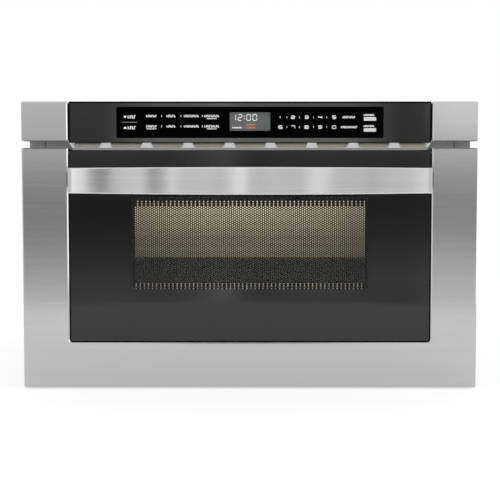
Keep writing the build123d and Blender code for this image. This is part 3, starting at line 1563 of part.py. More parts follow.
cap_setback = 1.0               # end caps in front of the front frame
cap_corner_radius = 2.5
cap_back_y = frame_front_y - cap_setback
carrier_gap = 1.0
carrier_wall = 2.0
carrier_half = face_half - trim_sheet - carrier_gap
carrier_bottom_z = panel_bottom_z + trim_sheet + carrier_gap
carrier_top_z = panel_top_z - trim_sheet - carrier_gap
control_glass_back_y = glass_front_y + control_glass_thickness

with BuildPart() as panel_cap:
    with BuildSketch(front_plane(cap_back_y)):
        rectangle_between(
            (stile_inner_x, panel_bottom_z), (face_half, panel_top_z), radius=cap_corner_radius
        )
    extrude(amount=cap_back_y - face_y)
    chamfer(panel_cap.faces().sort_by(Axis.Y)[0].edges(), trim_bevel)
    offset(amount=-trim_sheet, openings=panel_cap.faces().sort_by(Axis.Y)[-1])
    with BuildSketch(front_plane(cap_back_y)):
        rectangle_between(
            (stile_inner_x - trim_sheet, panel_bottom_z + trim_sheet),
            (stile_inner_x + trim_sheet, panel_top_z - trim_sheet),
        )
    extrude(amount=cap_back_y - face_y - lip_depth, mode=Mode.SUBTRACT)
write_pair(panel_cap, "panel_cap")

control_glass_radius = 1.5
control_glass_edge = 0.5

with BuildPart() as control_glass:
    with BuildSketch(front_plane(control_glass_back_y)):
        rectangle_between(
            (-glass_half, panel_bottom_z - control_glass_drop), (glass_half, panel_top_z),
            radius=control_glass_radius,
        )
    extrude(amount=control_glass_thickness)
    chamfer(control_glass.faces().sort_by(Axis.Y)[0].edges(), control_glass_edge)
write(control_glass, "control_glass")

post_size = 7.0
rib_inset = 6.0                 # the carrier's ribs in from the glass's ends
display_depth = 7.7
board_back_y = control_glass_back_y + display_depth + board_sheet
board_half = 150.0
board_margin = 5.0
board_low_z = carrier_bottom_z + board_margin
board_high_z = carrier_top_z - board_margin

with BuildPart() as panel_carrier:
    with BuildSketch(front_plane(frame_front_y)):
        rectangle_between((-carrier_half, carrier_bottom_z), (carrier_half, carrier_top_z))
    extrude(amount=frame_front_y - trim_cover_y)
    offset(amount=-carrier_wall, openings=panel_carrier.faces().sort_by(Axis.Y)[0])
    with BuildSketch(front_plane(lip_back_y)):
        rectangle_between((-pocket_half, carrier_bottom_z), (pocket_half, panel_top_z))
    extrude(amount=lip_depth, mode=Mode.SUBTRACT)
    with BuildSketch(front_plane(frame_front_y)):
        for sign in (-1, 1):
            with Locations((sign * (glass_half - rib_inset), (carrier_bottom_z + carrier_top_z) / 2)):
                Rectangle(carrier_wall, carrier_top_z - carrier_bottom_z)
    extrude(amount=frame_front_y - control_glass_back_y)
    with BuildSketch(front_plane(frame_front_y - carrier_wall)):
        with Locations((0, (board_low_z + board_high_z) / 2)):
            with GridLocations(
                2 * (board_half - post_size), board_high_z - board_low_z - 2 * post_size, 2, 2
            ):
                Rectangle(post_size, post_size)
    extrude(amount=frame_front_y - carrier_wall - board_back_y)
write(panel_carrier, "panel_carrier")

relay_depth = 12.0
relay_width = 16.0
relay_height = 18.0
relay_pitch = 24.0
relay_x = -70.0
board_transformer_x = 70.0
board_transformer_size = 22.0
board_middle_z = (board_low_z + board_high_z) / 2
display_width = 60.0
display_height = 30.0
display_drop = 26.5             # display's middle below the panel's top
display_z = panel_top_z - display_drop

with BuildPart() as control_board:
    with BuildSketch(front_plane(board_back_y)):
        rectangle_between((-board_half, board_low_z), (board_half, board_high_z))
    extrude(amount=board_sheet)
    with BuildSketch(front_plane(board_back_y + relay_depth)):
        with Locations((relay_x, board_middle_z)):
            with GridLocations(relay_pitch, 1, 3, 1):
                Rectangle(relay_width, relay_height)
        with Locations((board_transformer_x, board_middle_z)):
            Rectangle(board_transformer_size, board_transformer_size)
    extrude(amount=relay_depth)
write(control_board, "control_board")

with BuildPart() as display_module:
    with BuildSketch(front_plane(board_back_y - board_sheet)):
        with Locations((0, display_z)):
            Rectangle(display_width, display_height)
    extrude(amount=display_depth)
write(display_module, "display_module")
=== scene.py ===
"""A drawer microwave oven: its looks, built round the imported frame."""

import math

import bpy
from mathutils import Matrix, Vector

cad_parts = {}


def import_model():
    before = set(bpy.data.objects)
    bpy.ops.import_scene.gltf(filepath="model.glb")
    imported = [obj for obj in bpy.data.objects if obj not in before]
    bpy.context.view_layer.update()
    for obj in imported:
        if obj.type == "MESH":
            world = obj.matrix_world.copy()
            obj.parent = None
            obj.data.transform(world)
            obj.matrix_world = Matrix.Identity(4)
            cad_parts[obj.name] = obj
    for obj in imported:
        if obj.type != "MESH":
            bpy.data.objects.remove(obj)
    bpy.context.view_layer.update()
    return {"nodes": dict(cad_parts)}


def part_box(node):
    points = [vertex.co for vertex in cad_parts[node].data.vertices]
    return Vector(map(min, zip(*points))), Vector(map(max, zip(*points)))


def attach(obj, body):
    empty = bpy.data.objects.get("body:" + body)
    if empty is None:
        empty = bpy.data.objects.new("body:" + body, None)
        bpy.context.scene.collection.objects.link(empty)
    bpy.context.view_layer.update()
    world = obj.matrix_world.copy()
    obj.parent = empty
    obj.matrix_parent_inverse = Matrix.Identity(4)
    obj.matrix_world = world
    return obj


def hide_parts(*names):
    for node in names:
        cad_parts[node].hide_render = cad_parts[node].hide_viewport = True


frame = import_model()
MM = 0.001


# ---------------------------------------------------------------- materials, with places in metres

# An edge begins and is full where the rounded normal leaves the flat one by these cosines.
EDGE_BEGINS = 0.999
EDGE_FULL = 0.82


def add_node(tree, kind, **props):
    node = tree.nodes.new("ShaderNode" + kind)
    for key, value in props.items():
        setattr(node, key, value)
    return node


def times(colour, factor):
    return [min(1.0, c * factor) for c in colour]


class Surface:
    """A material made of nodes. What makes a value returns its socket."""

    def __init__(self, name, rough=0.5, metal=0.0, **constants):
        self.material = bpy.data.materials.new(name)
        self.material.use_nodes = True
        self.tree = self.material.node_tree
        self.shader = self.tree.nodes["Principled BSDF"]
        self.place = self.add("TexCoord").outputs["Object"]
        self.shader.inputs["Roughness"].default_value = rough
        self.shader.inputs["Metallic"].default_value = metal
        for key, value in constants.items():
            self.shader.inputs[key.replace("_", " ")].default_value = value

    def add(self, kind, **props):
        return add_node(self.tree, kind, **props)

    def feed(self, socket, value):
        """Links a socket, or writes a plain number or colour."""
        if isinstance(value, bpy.types.NodeSocket):
            self.tree.links.new(value, socket)
        elif isinstance(value, (tuple, list)) and len(socket.default_value) == 4:
            socket.default_value = (*value[:3], 1.0)
        else:
            socket.default_value = value

    def set(self, name, value):
        self.feed(self.shader.inputs[name], value)

    def paint(self, tone, edge, amount, edge_tone):
        """Sets the colour, with some of another tone on the edges."""
        self.set("Base Color", self.mix(self.math("MULTIPLY", edge, amount), tone, edge_tone))

    def axes(self):
        """The three coordinates in the object's own frame, in metres."""
        split = self.add("SeparateXYZ")
        self.feed(split.inputs[0], self.place)
        return split.outputs

    def stretched(self, stretch):
        node = self.add("Mapping")
        node.inputs["Scale"].default_value = stretch
        self.feed(node.inputs["Vector"], self.place)
        return node.outputs["Vector"]

    def noise(self, scale, detail=3.0, stretch=(1, 1, 1), rough=0.5):
        node = self.add("TexNoise")
        self.feed(node.inputs["Vector"], self.stretched(stretch))
        node.inputs["Scale"].default_value = scale
        node.inputs["Detail"].default_value = detail
        node.inputs["Roughness"].default_value = rough
        return node.outputs["Fac"]

    def cells(self, scale, stretch=(1, 1, 1)):
        """One tone for each crystal."""
        node = self.add("TexVoronoi")
        self.feed(node.inputs["Vector"], self.stretched(stretch))
        node.inputs["Scale"].default_value = scale
        return node.outputs["Color"]

    def grade(self, value, low, high, to_low=0.0, to_high=1.0):
        node = self.add("MapRange")
        for name, v in (("Value", value), ("From Min", low), ("From Max", high),
                        ("To Min", to_low), ("To Max", to_high)):
            self.feed(node.inputs[name], v)
        return node.outputs["Result"]

    def math(self, operation, a, b=0.0):
        node = self.add("Math", operation=operation)
        self.feed(node.inputs[0], a)
        self.feed(node.inputs[1], b)
        return node.outputs["Value"]

    def mix(self, amount, a, b):
        node = self.add("Mix", data_type="RGBA")
        self.feed(node.inputs["Factor"], amount)
        self.feed(node.inputs[6], a)
        self.feed(node.inputs[7], b)
        return node.outputs[2]

    def bump(self, height, distance, strength, normal):
        node = self.add("Bump")
        node.inputs["Strength"].default_value = strength
        node.inputs["Distance"].default_value = distance
        self.feed(node.inputs["Height"], height)
        self.feed(node.inputs["Normal"], normal)
        return node.outputs["Normal"]

    def soft_edges(self, radius):
        """The normal with its edges rounded, and how much each point belongs to an edge."""
        bevel = self.add("Bevel", samples=4)
        bevel.inputs["Radius"].default_value = radius
        flat = self.add("NewGeometry").outputs["Normal"]
        dot = self.add("VectorMath", operation="DOT_PRODUCT")
        self.feed(dot.inputs[0], bevel.outputs["Normal"])
        self.feed(dot.inputs[1], flat)
        return bevel.outputs["Normal"], self.grade(dot.outputs["Value"], EDGE_BEGINS, EDGE_FULL)

    def tangent(self, x, y, z):
        node = self.add("CombineXYZ")
        for name, value in zip("XYZ", (x, y, z)):
            node.inputs[name].default_value = value
        self.set("Tangent", node.outputs["Vector"])


# How tightly the brush strokes are packed along x, y and z.
STROKES = (4, 40, 900)


def brushed(name, colour, rough, grain, anisotropic, smear, edge_wear_and_highlight=0.12):
    """Steel sheet brushed from side to side, with its edges broken and painted brighter, part wear and part
    painted highlight. Reflections spread along the smear direction."""
    s = Surface(name, metal=1.0, Anisotropic=anisotropic)
    s.tangent(*smear)
    fine = s.noise(1.0, 4.0, STROKES, 0.6)
    broad = s.noise(1.0, 2.0, (STROKES[0] * 0.7, STROKES[1] * 0.5, STROKES[2] * 0.12), 0.5)
    cloud = s.noise(5.0, 3.0, (0.6, 1, 1.6))
    normal, edge = s.soft_edges(0.15 * MM)
    tone = s.mix(s.grade(fine, 0.3, 0.7), times(colour, 1 - 0.055 * grain), times(colour, 1 + 0.05 * grain))
    tone = s.mix(s.grade(broad, 0.35, 0.65, 0.0, 0.5), tone, times(colour, 0.96))
    # The paler edges are part wear, part painted highlight.
    s.paint(tone, edge, edge_wear_and_highlight, (0.93, 0.93, 0.93))
    s.set("Roughness", s.math("ADD", s.grade(fine, 0.3, 0.7, -0.02 * grain, 0.02 * grain),
                              s.grade(cloud, 0.3, 0.7, rough - 0.01, rough + 0.01)))
    s.set("Normal", s.bump(fine, 0.004 * MM * grain, 0.4, normal))
    return s.material


def galvanised(name, colour=(0.50, 0.515, 0.52)):
    """Zinc-coated sheet: flat crystals of slightly different grey, and dull handling marks."""
    s = Surface(name, metal=1.0)
    crystal = s.cells(210.0, (1, 0.8, 1))
    small = s.cells(520.0)
    smear = s.noise(7.0, 5.0, (1, 0.4, 1.6), 0.65)
    rolled = s.noise(1.0, 3.0, (500, 6, 500))
    normal, edge = s.soft_edges(0.5 * MM)
    tone = s.mix(s.grade(crystal, 0.1, 0.9), times(colour, 0.92), times(colour, 1.07))
    tone = s.mix(s.grade(small, 0.2, 0.8, 0.0, 0.3), tone, times(colour, 0.92))
    tone = s.mix(s.grade(rolled, 0.35, 0.7, 0.0, 0.4), tone, times(colour, 0.93))
    tone = s.mix(s.grade(smear, 0.5, 0.8, 0.0, 0.4), tone, times(colour, 0.84))
    # The paler edges are part wear, part painted highlight.
    s.paint(tone, edge, 0.5, (0.80, 0.81, 0.82))
    s.set("Roughness", s.grade(crystal, 0.0, 1.0, 0.30, 0.46))
    s.set("Normal", s.bump(crystal, 0.02 * MM, 0.3, normal))
    return s.material


# The foot tone fades out upwards between these heights, and sets in between these depths.
FOOT_TONE_TOP, FOOT_TONE_LOW = 0.222, 0.172
FOOT_TONE_FRONT, FOOT_TONE_BACK = 0.41, 0.43
# How much of red, green and blue the warm clouds take away.
WARMING = (0.06, 0.096, 0.156)


def enamel(name, colour, rough=0.22, spot=(0.35, 0.30, 0.22), foot_tone=None, coat=0.4, **constants):
    """Fired enamel: glossy over a faint orange-peel, a little darker where heat and food marked it.
    A foot tone makes the foot of the oven's rear wall darker and browner."""
    s = Surface(name, Coat_Weight=coat, Coat_Roughness=0.08, **constants)
    peel = s.noise(420.0, 2.0)
    cloud = s.noise(6.0, 4.0, (1, 1, 1), 0.6)
    fleck = s.noise(240.0, 1.0)
    normal, edge = s.soft_edges(0.8 * MM)
    tone = s.mix(s.grade(cloud, 0.35, 0.75), colour, [c * (1 - k) for c, k in zip(colour, WARMING)])
    tone = s.mix(s.grade(fleck, 0.72, 0.78, 0.0, 0.35), tone, spot)
    # The rear wall gets darker and browner towards its foot.
    if foot_tone:
        _, y, z = s.axes()
        ragged = s.math("ADD", z, s.grade(cloud, 0.2, 0.8, -0.012, 0.012))
        foot = s.grade(ragged, FOOT_TONE_TOP, FOOT_TONE_LOW)
        rear = s.grade(y, FOOT_TONE_FRONT, FOOT_TONE_BACK)
        tone = s.mix(s.math("MULTIPLY", foot, rear), tone, foot_tone)
    s.paint(tone, edge, 0.25, times(colour, 1.1))
    s.set("Roughness", s.grade(cloud, 0.3, 0.7, rough - 0.04, rough + 0.08))
    s.set("Normal", s.bump(peel, 0.06 * MM, 0.35, normal))
    return s.material


# Heights between which the lip turns grey with painted shade, and depths between which a pocket gets dark
# with painted shade.
SHADED_LIP_BEGINS, SHADED_LIP_FULL = 0.3235, 0.3228
POCKET_SHADE_BEGINS, POCKET_SHADE_FULL = 0.006, 0.012


def louvre(name):
    """Painted air outlet: white ribs, beige pocket floors with painted shade at the back, a lip painted
    grey as shade, and some dust.
    """
    s = Surface(name, 0.4)
    x, y, z = s.axes()
    cloud = s.noise(40.0, 4.0, (1, 1, 1), 0.6)
    fine = s.noise(600.0, 2.0)
    normal, _ = s.soft_edges(0.6 * MM)
    split = s.add("SeparateXYZ")
    s.feed(split.inputs[0], s.add("NewGeometry").outputs["Normal"])
    lies_flat = s.grade(split.outputs["Z"], 0.3, 0.6)
    # Below the ribs the lip is painted grey: painted shade in the gap above the drawer.
    ribs = s.mix(s.grade(z, SHADED_LIP_BEGINS, SHADED_LIP_FULL), (0.98, 0.98, 0.99), (0.44, 0.43, 0.425))
    beige = s.mix(s.grade(x, -0.2, 0.2), (0.90, 0.87, 0.80), (0.95, 0.88, 0.74))
    # Each pocket's floor darkens towards the back: painted shade under the panel.
    beige = s.mix(s.grade(y, POCKET_SHADE_BEGINS, POCKET_SHADE_FULL), beige, (0.14, 0.12, 0.08))
    tone = s.mix(lies_flat, ribs, beige)
    s.set("Base Color", s.mix(s.grade(cloud, 0.4, 0.8, 0.0, 0.18), tone, (0.50, 0.46, 0.38)))
    s.set("Roughness", s.grade(cloud, 0.3, 0.7, 0.34, 0.5))
    s.set("Normal", s.bump(fine, 0.03 * MM, 0.4, normal))
    return s.material


def moulded(name, colour, rough=0.45, texture=1.0, lift=0.3, **constants):
    """Injection-moulded plastic: spark-eroded fine texture, paler edges that are part wear, part painted
    highlight.
    """
    s = Surface(name, **constants)
    fine = s.noise(1500.0, 2.0)
    cloud = s.noise(14.0, 4.0, (1, 1, 1), 0.6)
    normal, edge = s.soft_edges(0.4 * MM)
    tone = s.mix(s.grade(cloud, 0.3, 0.75), colour, times(colour, 0.86))
    # The paler edges are part wear, part painted highlight.
    s.paint(tone, edge, 0.35, [min(1.0, c + lift * (0.35 - 0.2 * c)) for c in colour])
    s.set("Roughness", s.grade(cloud, 0.3, 0.7, rough - 0.05, rough + 0.07))
    s.set("Normal", s.bump(fine, 0.04 * MM * texture, 0.4, normal))
    return s.material


def worked_metal(name, colour, rough=0.35, pitted=0.4):
    """Turned, pressed or cast metal with a fine tooth and slightly dull patches."""
    s = Surface(name, metal=1.0)
    tooth = s.noise(700.0, 3.0)
    cloud = s.noise(16.0, 4.0, (1, 1, 1), 0.6)
    normal, edge = s.soft_edges(0.35 * MM)
    tone = s.mix(s.grade(cloud, 0.35, 0.7), colour, times(colour, 0.82))
    # The paler edges are part wear, part painted highlight.
    s.paint(tone, edge, 0.5, times(colour, 1.25))
    s.set("Roughness", s.grade(cloud, 0.3, 0.7, rough - 0.05, rough + 0.1))
    s.set("Normal", s.bump(tooth, 0.03 * MM * pitted, 0.5, normal))
    return s.material


def pane(name, tint):
    """Sheet glass: clear and faintly tinted, with a trace of smear over it."""
    s = Surface(name, 0.0, Transmission_Weight=1.0, IOR=1.25)
    smear = s.noise(9.0, 5.0, (1, 1, 2.5), 0.65)
    s.set("Base Color", s.mix(s.grade(smear, 0.4, 0.8), tint, times(tint, 0.97)))
    return s.material


# The heights of the painted reflection's two tones, and where it begins and is full on each side of the
# middle.
REFLECTION_LOW, REFLECTION_HIGH = 0.330, 0.382
REFLECTION_BEGINS, REFLECTION_FULL = 0.196, 0.120


def printed_glass(name, colour, painted_reflection=None, ior=1.5):
    """Glass printed on its back: deep, dark and mirror-smooth. A painted reflection is a paler tone round
    the middle, given as its tone at the glass's lower and upper edge."""
    s = Surface(name, 0.04, IOR=ior)
    cloud = s.noise(30.0, 3.0)
    smear = s.noise(8.0, 5.0, (1, 1, 2.5), 0.65)
    normal, edge = s.soft_edges(0.6 * MM)
    tone = s.mix(s.grade(cloud, 0.3, 0.75), colour, times(colour, 0.85))
    # A painted reflection: the print turns paler round the middle and towards the lower edge.
    if painted_reflection:
        x, _, z = s.axes()
        paler = s.mix(s.grade(z, REFLECTION_LOW, REFLECTION_HIGH), *painted_reflection)
        tone = s.mix(s.grade(s.math("ABSOLUTE", x), REFLECTION_BEGINS, REFLECTION_FULL), tone, paler)
    s.paint(tone, edge, 0.5, (0.004, 0.005, 0.005))
    s.set("Roughness", s.grade(smear, 0.4, 0.8, 0.03, 0.07))
    s.set("Normal", normal)
    return s.material


def printed(name, colour, rough=0.4, **constants):
    """Ink or film: flat colour with a little unevenness."""
    s = Surface(name, **constants)
    cloud = s.noise(60.0, 3.0)
    s.set("Base Color", s.mix(s.grade(cloud, 0.3, 0.75), colour, times(colour, 0.9)))
    s.set("Roughness", s.grade(cloud, 0.3, 0.7, rough - 0.03, rough + 0.05))
    return s.material


def lit(name, colour, strength):
    """Something that glows: a lamp or a lit segment of a display."""
    s = Surface(name, 0.4, Emission_Strength=strength)
    cloud = s.noise(200.0, 2.0)
    tone = s.mix(s.grade(cloud, 0.3, 0.8), colour, times(colour, 0.9))
    s.set("Base Color", tone)
    s.set("Emission Color", tone)
    return s.material


MATERIALS = {
    "stainless": brushed("stainless", (0.49, 0.49, 0.49), 0.13, 0.6, 0.5, (1, 0, 0)),
    "handle_steel": brushed("handle_steel", (0.64, 0.64, 0.645), 0.155, 0.5, 1.0, (0, 0, 1), 0.3),
    "galvanised": galvanised("galvanised"),
    "slide_steel": worked_metal("slide_steel", (0.62, 0.63, 0.65), 0.28, 0.3),
    "cream_enamel": enamel("cream_enamel", (0.80, 0.765, 0.68), foot_tone=(0.35, 0.305, 0.25)),
    "louvre_enamel": louvre("louvre_enamel"),
    "tub_enamel": enamel("tub_enamel", (0.022, 0.021, 0.019), 0.5, (0.05, 0.045, 0.04), coat=0.0,
                         Specular_IOR_Level=0.2),
    "black_enamel": enamel("black_enamel", (0.012, 0.012, 0.012), 0.38, (0.03, 0.03, 0.03)),
    "door_glass": pane("door_glass", (0.93, 0.95, 0.94)),
    "control_glass": pane("control_glass", (0.90, 0.92, 0.92)),
    "clear_glass": pane("clear_glass", (0.95, 0.97, 0.96)),
    "bulb_glass": lit("bulb_glass", (1.0, 0.86, 0.62), 2.2),
    "black_plastic": moulded("black_plastic", (0.018, 0.018, 0.019)),
    "white_plastic": moulded("white_plastic", (0.72, 0.715, 0.69), 0.4),
    "natural_nylon": moulded("natural_nylon", (0.66, 0.63, 0.55), 0.38, Subsurface_Weight=0.1),
    "circuit_board": moulded("circuit_board", (0.035, 0.16, 0.07), 0.35, 0.6, 0.1),
    "tray_ceramic": enamel("tray_ceramic", (0.82, 0.80, 0.76), 0.12, (0.7, 0.66, 0.6)),
    "gear_steel": worked_metal("gear_steel", (0.50, 0.50, 0.51), 0.32),
    "motor_metal": worked_metal("motor_metal", (0.44, 0.45, 0.46), 0.38),
    "core_steel": worked_metal("core_steel", (0.24, 0.23, 0.225), 0.5, 1.0),
    "capacitor_can": worked_metal("capacitor_can", (0.66, 0.67, 0.68), 0.3),
    "magnetron_metal": worked_metal("magnetron_metal", (0.66, 0.66, 0.65), 0.34),
    "bronze": worked_metal("bronze", (0.55, 0.33, 0.14), 0.4, 1.0),
}
for node in frame["nodes"].values():
    for index, material in enumerate(node.data.materials):
        node.data.materials[index] = MATERIALS[material.name.split(".")[0]]

# A darker copy of the galvanised sheet for the flanges and front frame: painted shade, as they sit deep
# behind the trim.
SHADED_FRONT_ZINC = galvanised("front_zinc_painted_shade", (0.30, 0.31, 0.31))
for name in ("mounting_flange_left", "mounting_flange_right", "front_frame"):
    frame["nodes"][name].data.materials[0] = SHADED_FRONT_ZINC

DOOR_GLASS = printed_glass("door_glass_black", (0.0015, 0.0015, 0.0017), ior=1.51)
# The charcoal glass carries a painted reflection, paler round the middle and towards its lower edge.
PANEL_GLASS = printed_glass("panel_glass_charcoal", (0.006, 0.006, 0.006),
                            ((0.067, 0.067, 0.065), (0.037, 0.037, 0.037)), 1.42)
SCREEN_BLACK = printed("screen_black", (0.003, 0.003, 0.003), 0.7, Specular_IOR_Level=0.08)
FILM = printed("film_black", (0.0010, 0.0010, 0.0010), 0.6, Specular_IOR_Level=0.0)
LEGEND = printed("legend_white", (0.78, 0.78, 0.78), 0.5, Specular_IOR_Level=0.2)
LEGEND_DIM = printed("legend_dim", (0.22, 0.22, 0.22), 0.5, Specular_IOR_Level=0.2)
# Flat dark ink for painted shadow in joints and round the rear screws.
SHADOW_INK = printed("seam_shadow", (0.02, 0.02, 0.02), 0.7, Specular_IOR_Level=0.1)
PAD = printed("pad_silver", (0.52, 0.52, 0.52), 0.35, Specular_IOR_Level=0.3)
LCD = printed("lcd_grey", (0.20, 0.205, 0.205), 0.3, Specular_IOR_Level=0.2)
LCD_DIGIT = lit("lcd_digit", (0.95, 0.96, 0.97), 0.35)
LCD_ORANGE = lit("lcd_orange", (0.95, 0.30, 0.03), 0.35)


# ---------------------------------------------------------------- mesh helpers, with lengths in millimetres

def piece(name, points, faces, material, body, smooth=False):
    """A mesh that rides on a body, from points in millimetres. A smooth one keeps its flat faces flat."""
    mesh = bpy.data.meshes.new(name)
    mesh.from_pydata([Vector(p) * MM for p in points], [], faces)
    mesh.update()
    mesh.materials.append(material)
    if smooth:
        mesh.shade_smooth()
    obj = bpy.data.objects.new(name, mesh)
    bpy.context.scene.collection.objects.link(obj)
    if smooth:
        normals = obj.modifiers.new("normals", "WEIGHTED_NORMAL")
        normals.mode = "FACE_AREA"
        normals.weight = 100
    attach(obj, body)
    return obj


def span(node):
    """A node's box: x0, y0, z0, x1, y1, z1."""
    low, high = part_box(node)
    return [c / MM for c in (*low, *high)]


def front_of(box, corner):
    """The rounded box (x0, z0, x1, z1, corner) that a node's box shows from the front."""
    return box[0], box[2], box[3], box[5], corner


def inset(rounded_box, by):
    x0, z0, x1, z1, corner = rounded_box
    return x0 + by, z0 + by, x1 - by, z1 - by, corner - by


def rounded(x0, z0, x1, z1, radius, steps=5):
    """Corner points of a rounded rectangle, in order round it."""
    points = []
    for cx, cz, start in ((x1 - radius, z1 - radius, 0), (x0 + radius, z1 - radius, 90),
                          (x0 + radius, z0 + radius, 180), (x1 - radius, z0 + radius, 270)):
        for i in range(steps + 1):
            a = math.radians(start + 90 * i / steps)
            points.append((cx + radius * math.cos(a), cz + radius * math.sin(a)))
    return points


class Flat:
    """Many thin closed plates at one depth, gathered into one mesh. They face the front."""

    def __init__(self, y, thickness=0.03):
        self.front = y
        self.back = y + thickness
        self.points = []
        self.faces = []

    def outline(self, loop):
        """Adds a loop's points at the front and behind it, and gives the number of the first."""
        start = len(self.points)
        self.points += [(x, y, z) for y in (self.front, self.back) for x, z in loop]
        return start

    def rim(self, start, n, inward=False):
        for i in range(n):
            j = (i + 1) % n
            wall = [start + i, start + n + i, start + n + j, start + j]
            self.faces.append(wall[::-1] if inward else wall)

    def shape(self, loop):
        turn = sum(a[0] * b[1] - b[0] * a[1] for a, b in zip(loop, loop[1:] + loop[:1]))
        n = len(loop)
        start = self.outline(loop if turn > 0 else loop[::-1])
        self.faces += [[start + i for i in range(n)], [start + n + i for i in range(n)][::-1]]
        self.rim(start, n)
        return self

    def bar(self, x, z, width, height, radius=0.0):
        if radius:
            return self.shape(rounded(x - width / 2, z - height / 2, x + width / 2, z + height / 2, radius))
        return self.shape([(x - width / 2, z - height / 2), (x + width / 2, z - height / 2),
                           (x + width / 2, z + height / 2), (x - width / 2, z + height / 2)])

    def ring(self, outer, inner):
        """The band between two outlines with the same number of points."""
        n = len(outer)
        a = self.outline(outer)
        b = self.outline(inner)
        for i in range(n):
            j = (i + 1) % n
            self.faces += [[a + i, a + j, b + j, b + i], [b + n + i, b + n + j, a + n + j, a + n + i]]
        self.rim(a, n)
        self.rim(b, n, inward=True)
        return self

    def place(self, name, material, body, slot):
        return piece(name, self.points, self.faces, material, body)


def loft(name, rings, material, body):
    """A closed smooth skin through rings of points."""
    n = len(rings[0])
    points = [p for ring in rings for p in ring]
    faces = [list(range(n))[::-1], [len(points) - n + i for i in range(n)]]
    for r in range(len(rings) - 1):
        for i in range(n):
            j = (i + 1) % n
            faces.append([r * n + i, r * n + j, (r + 1) * n + j, (r + 1) * n + i])
    return piece(name, points, faces, material, body, smooth=True)


def slab(name, front, back, outer, inner, material, body, edge=0.0):
    """A plate between two depths, with an opening or whole, its front edge broken."""
    *broken, corner = inset(outer, edge)
    loops = [(rounded(*broken, max(corner, 0.1)), front),
             (rounded(*outer), front + edge), (rounded(*outer), back)]
    if inner:
        loops += [(rounded(*inner), back), (rounded(*inner), front)]
    n = len(loops[0][0])
    points = [(x, y, z) for loop, y in loops for x, z in loop]
    faces = []
    for k in range(len(loops) if inner else len(loops) - 1):
        m = (k + 1) % len(loops)
        for i in range(n):
            j = (i + 1) % n
            faces.append([k * n + i, m * n + i, m * n + j, k * n + j])
    if not inner:
        faces += [list(range(n)), [len(points) - n + i for i in range(n)][::-1]]
    return piece(name, points, faces, material, body)


# ---------------------------------------------------------------- handle

HANDLE_END_FACE = -53.0
HANDLE_THICK = 7.0
HANDLE_END_HEIGHT = 34.1
HANDLE_CORNER = 2.2
HANDLE_SPANS = 72
END_ROUND = 0.8

_, bar_front, bar_low, handle_half, _, bar_high = span("handle_bar")
handle_z = (bar_low + bar_high) / 2
handle_height = bar_high - bar_low
stations = [(-handle_half, END_ROUND)]
for k in range(HANDLE_SPANS + 1):
    stations.append(((handle_half - END_ROUND) * (2 * k / HANDLE_SPANS - 1), 0.0))
stations.append((handle_half, END_ROUND))
rings = []
for x, drawn_in in stations:
    t = (x / handle_half) ** 2
    front = bar_front + (HANDLE_END_FACE - bar_front) * t
    height = handle_height + (HANDLE_END_HEIGHT - handle_height) * t
    ring = rounded(front + drawn_in, handle_z - height / 2 + drawn_in, front + HANDLE_THICK - drawn_in,
                   handle_z + height / 2 - drawn_in, HANDLE_CORNER, 6)
    rings.append([(x, y, z) for y, z in ring])
handle = loft("handle_grip", rings, MATERIALS["handle_steel"], "drawer")
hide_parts("handle_bar")


# ---------------------------------------------------------------- door glass, printed round a clear pane

GLASS_CORNER = 1.5
PANE_GAP = 0.05
SIGHT_RAISED = 2.7  # the window's lower edge lies this much above that of the sheet behind it
SEAL_HEIGHT = 0.6

glass = span("door_glass")
view = span("inner_window")
WINDOW = (view[0], view[2] + SIGHT_RAISED, view[3], view[5], 3.0)
pane_ring = slab("door_glass_print", glass[1], glass[4], front_of(glass, GLASS_CORNER), WINDOW,
                 DOOR_GLASS, "drawer", 0.6)
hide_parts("door_glass")
slab("door_glass_clear", glass[1], glass[4], inset(WINDOW, PANE_GAP), None,
     MATERIALS["door_glass"], "drawer")
seal = (glass[0] + 0.5, glass[5] + 0.02, glass[3] - 0.5, glass[5] + SEAL_HEIGHT, 0.2)
slab("door_top_seal", glass[1] + 0.5, glass[4], seal, None, SCREEN_BLACK, "drawer")


# ---------------------------------------------------------------- perforated screen

MESH_HALF = 155.04
MESH_TOP = 251.0
COLUMNS = 112
ROWS = 36
PITCH = 3.12
HOLE = 0.98


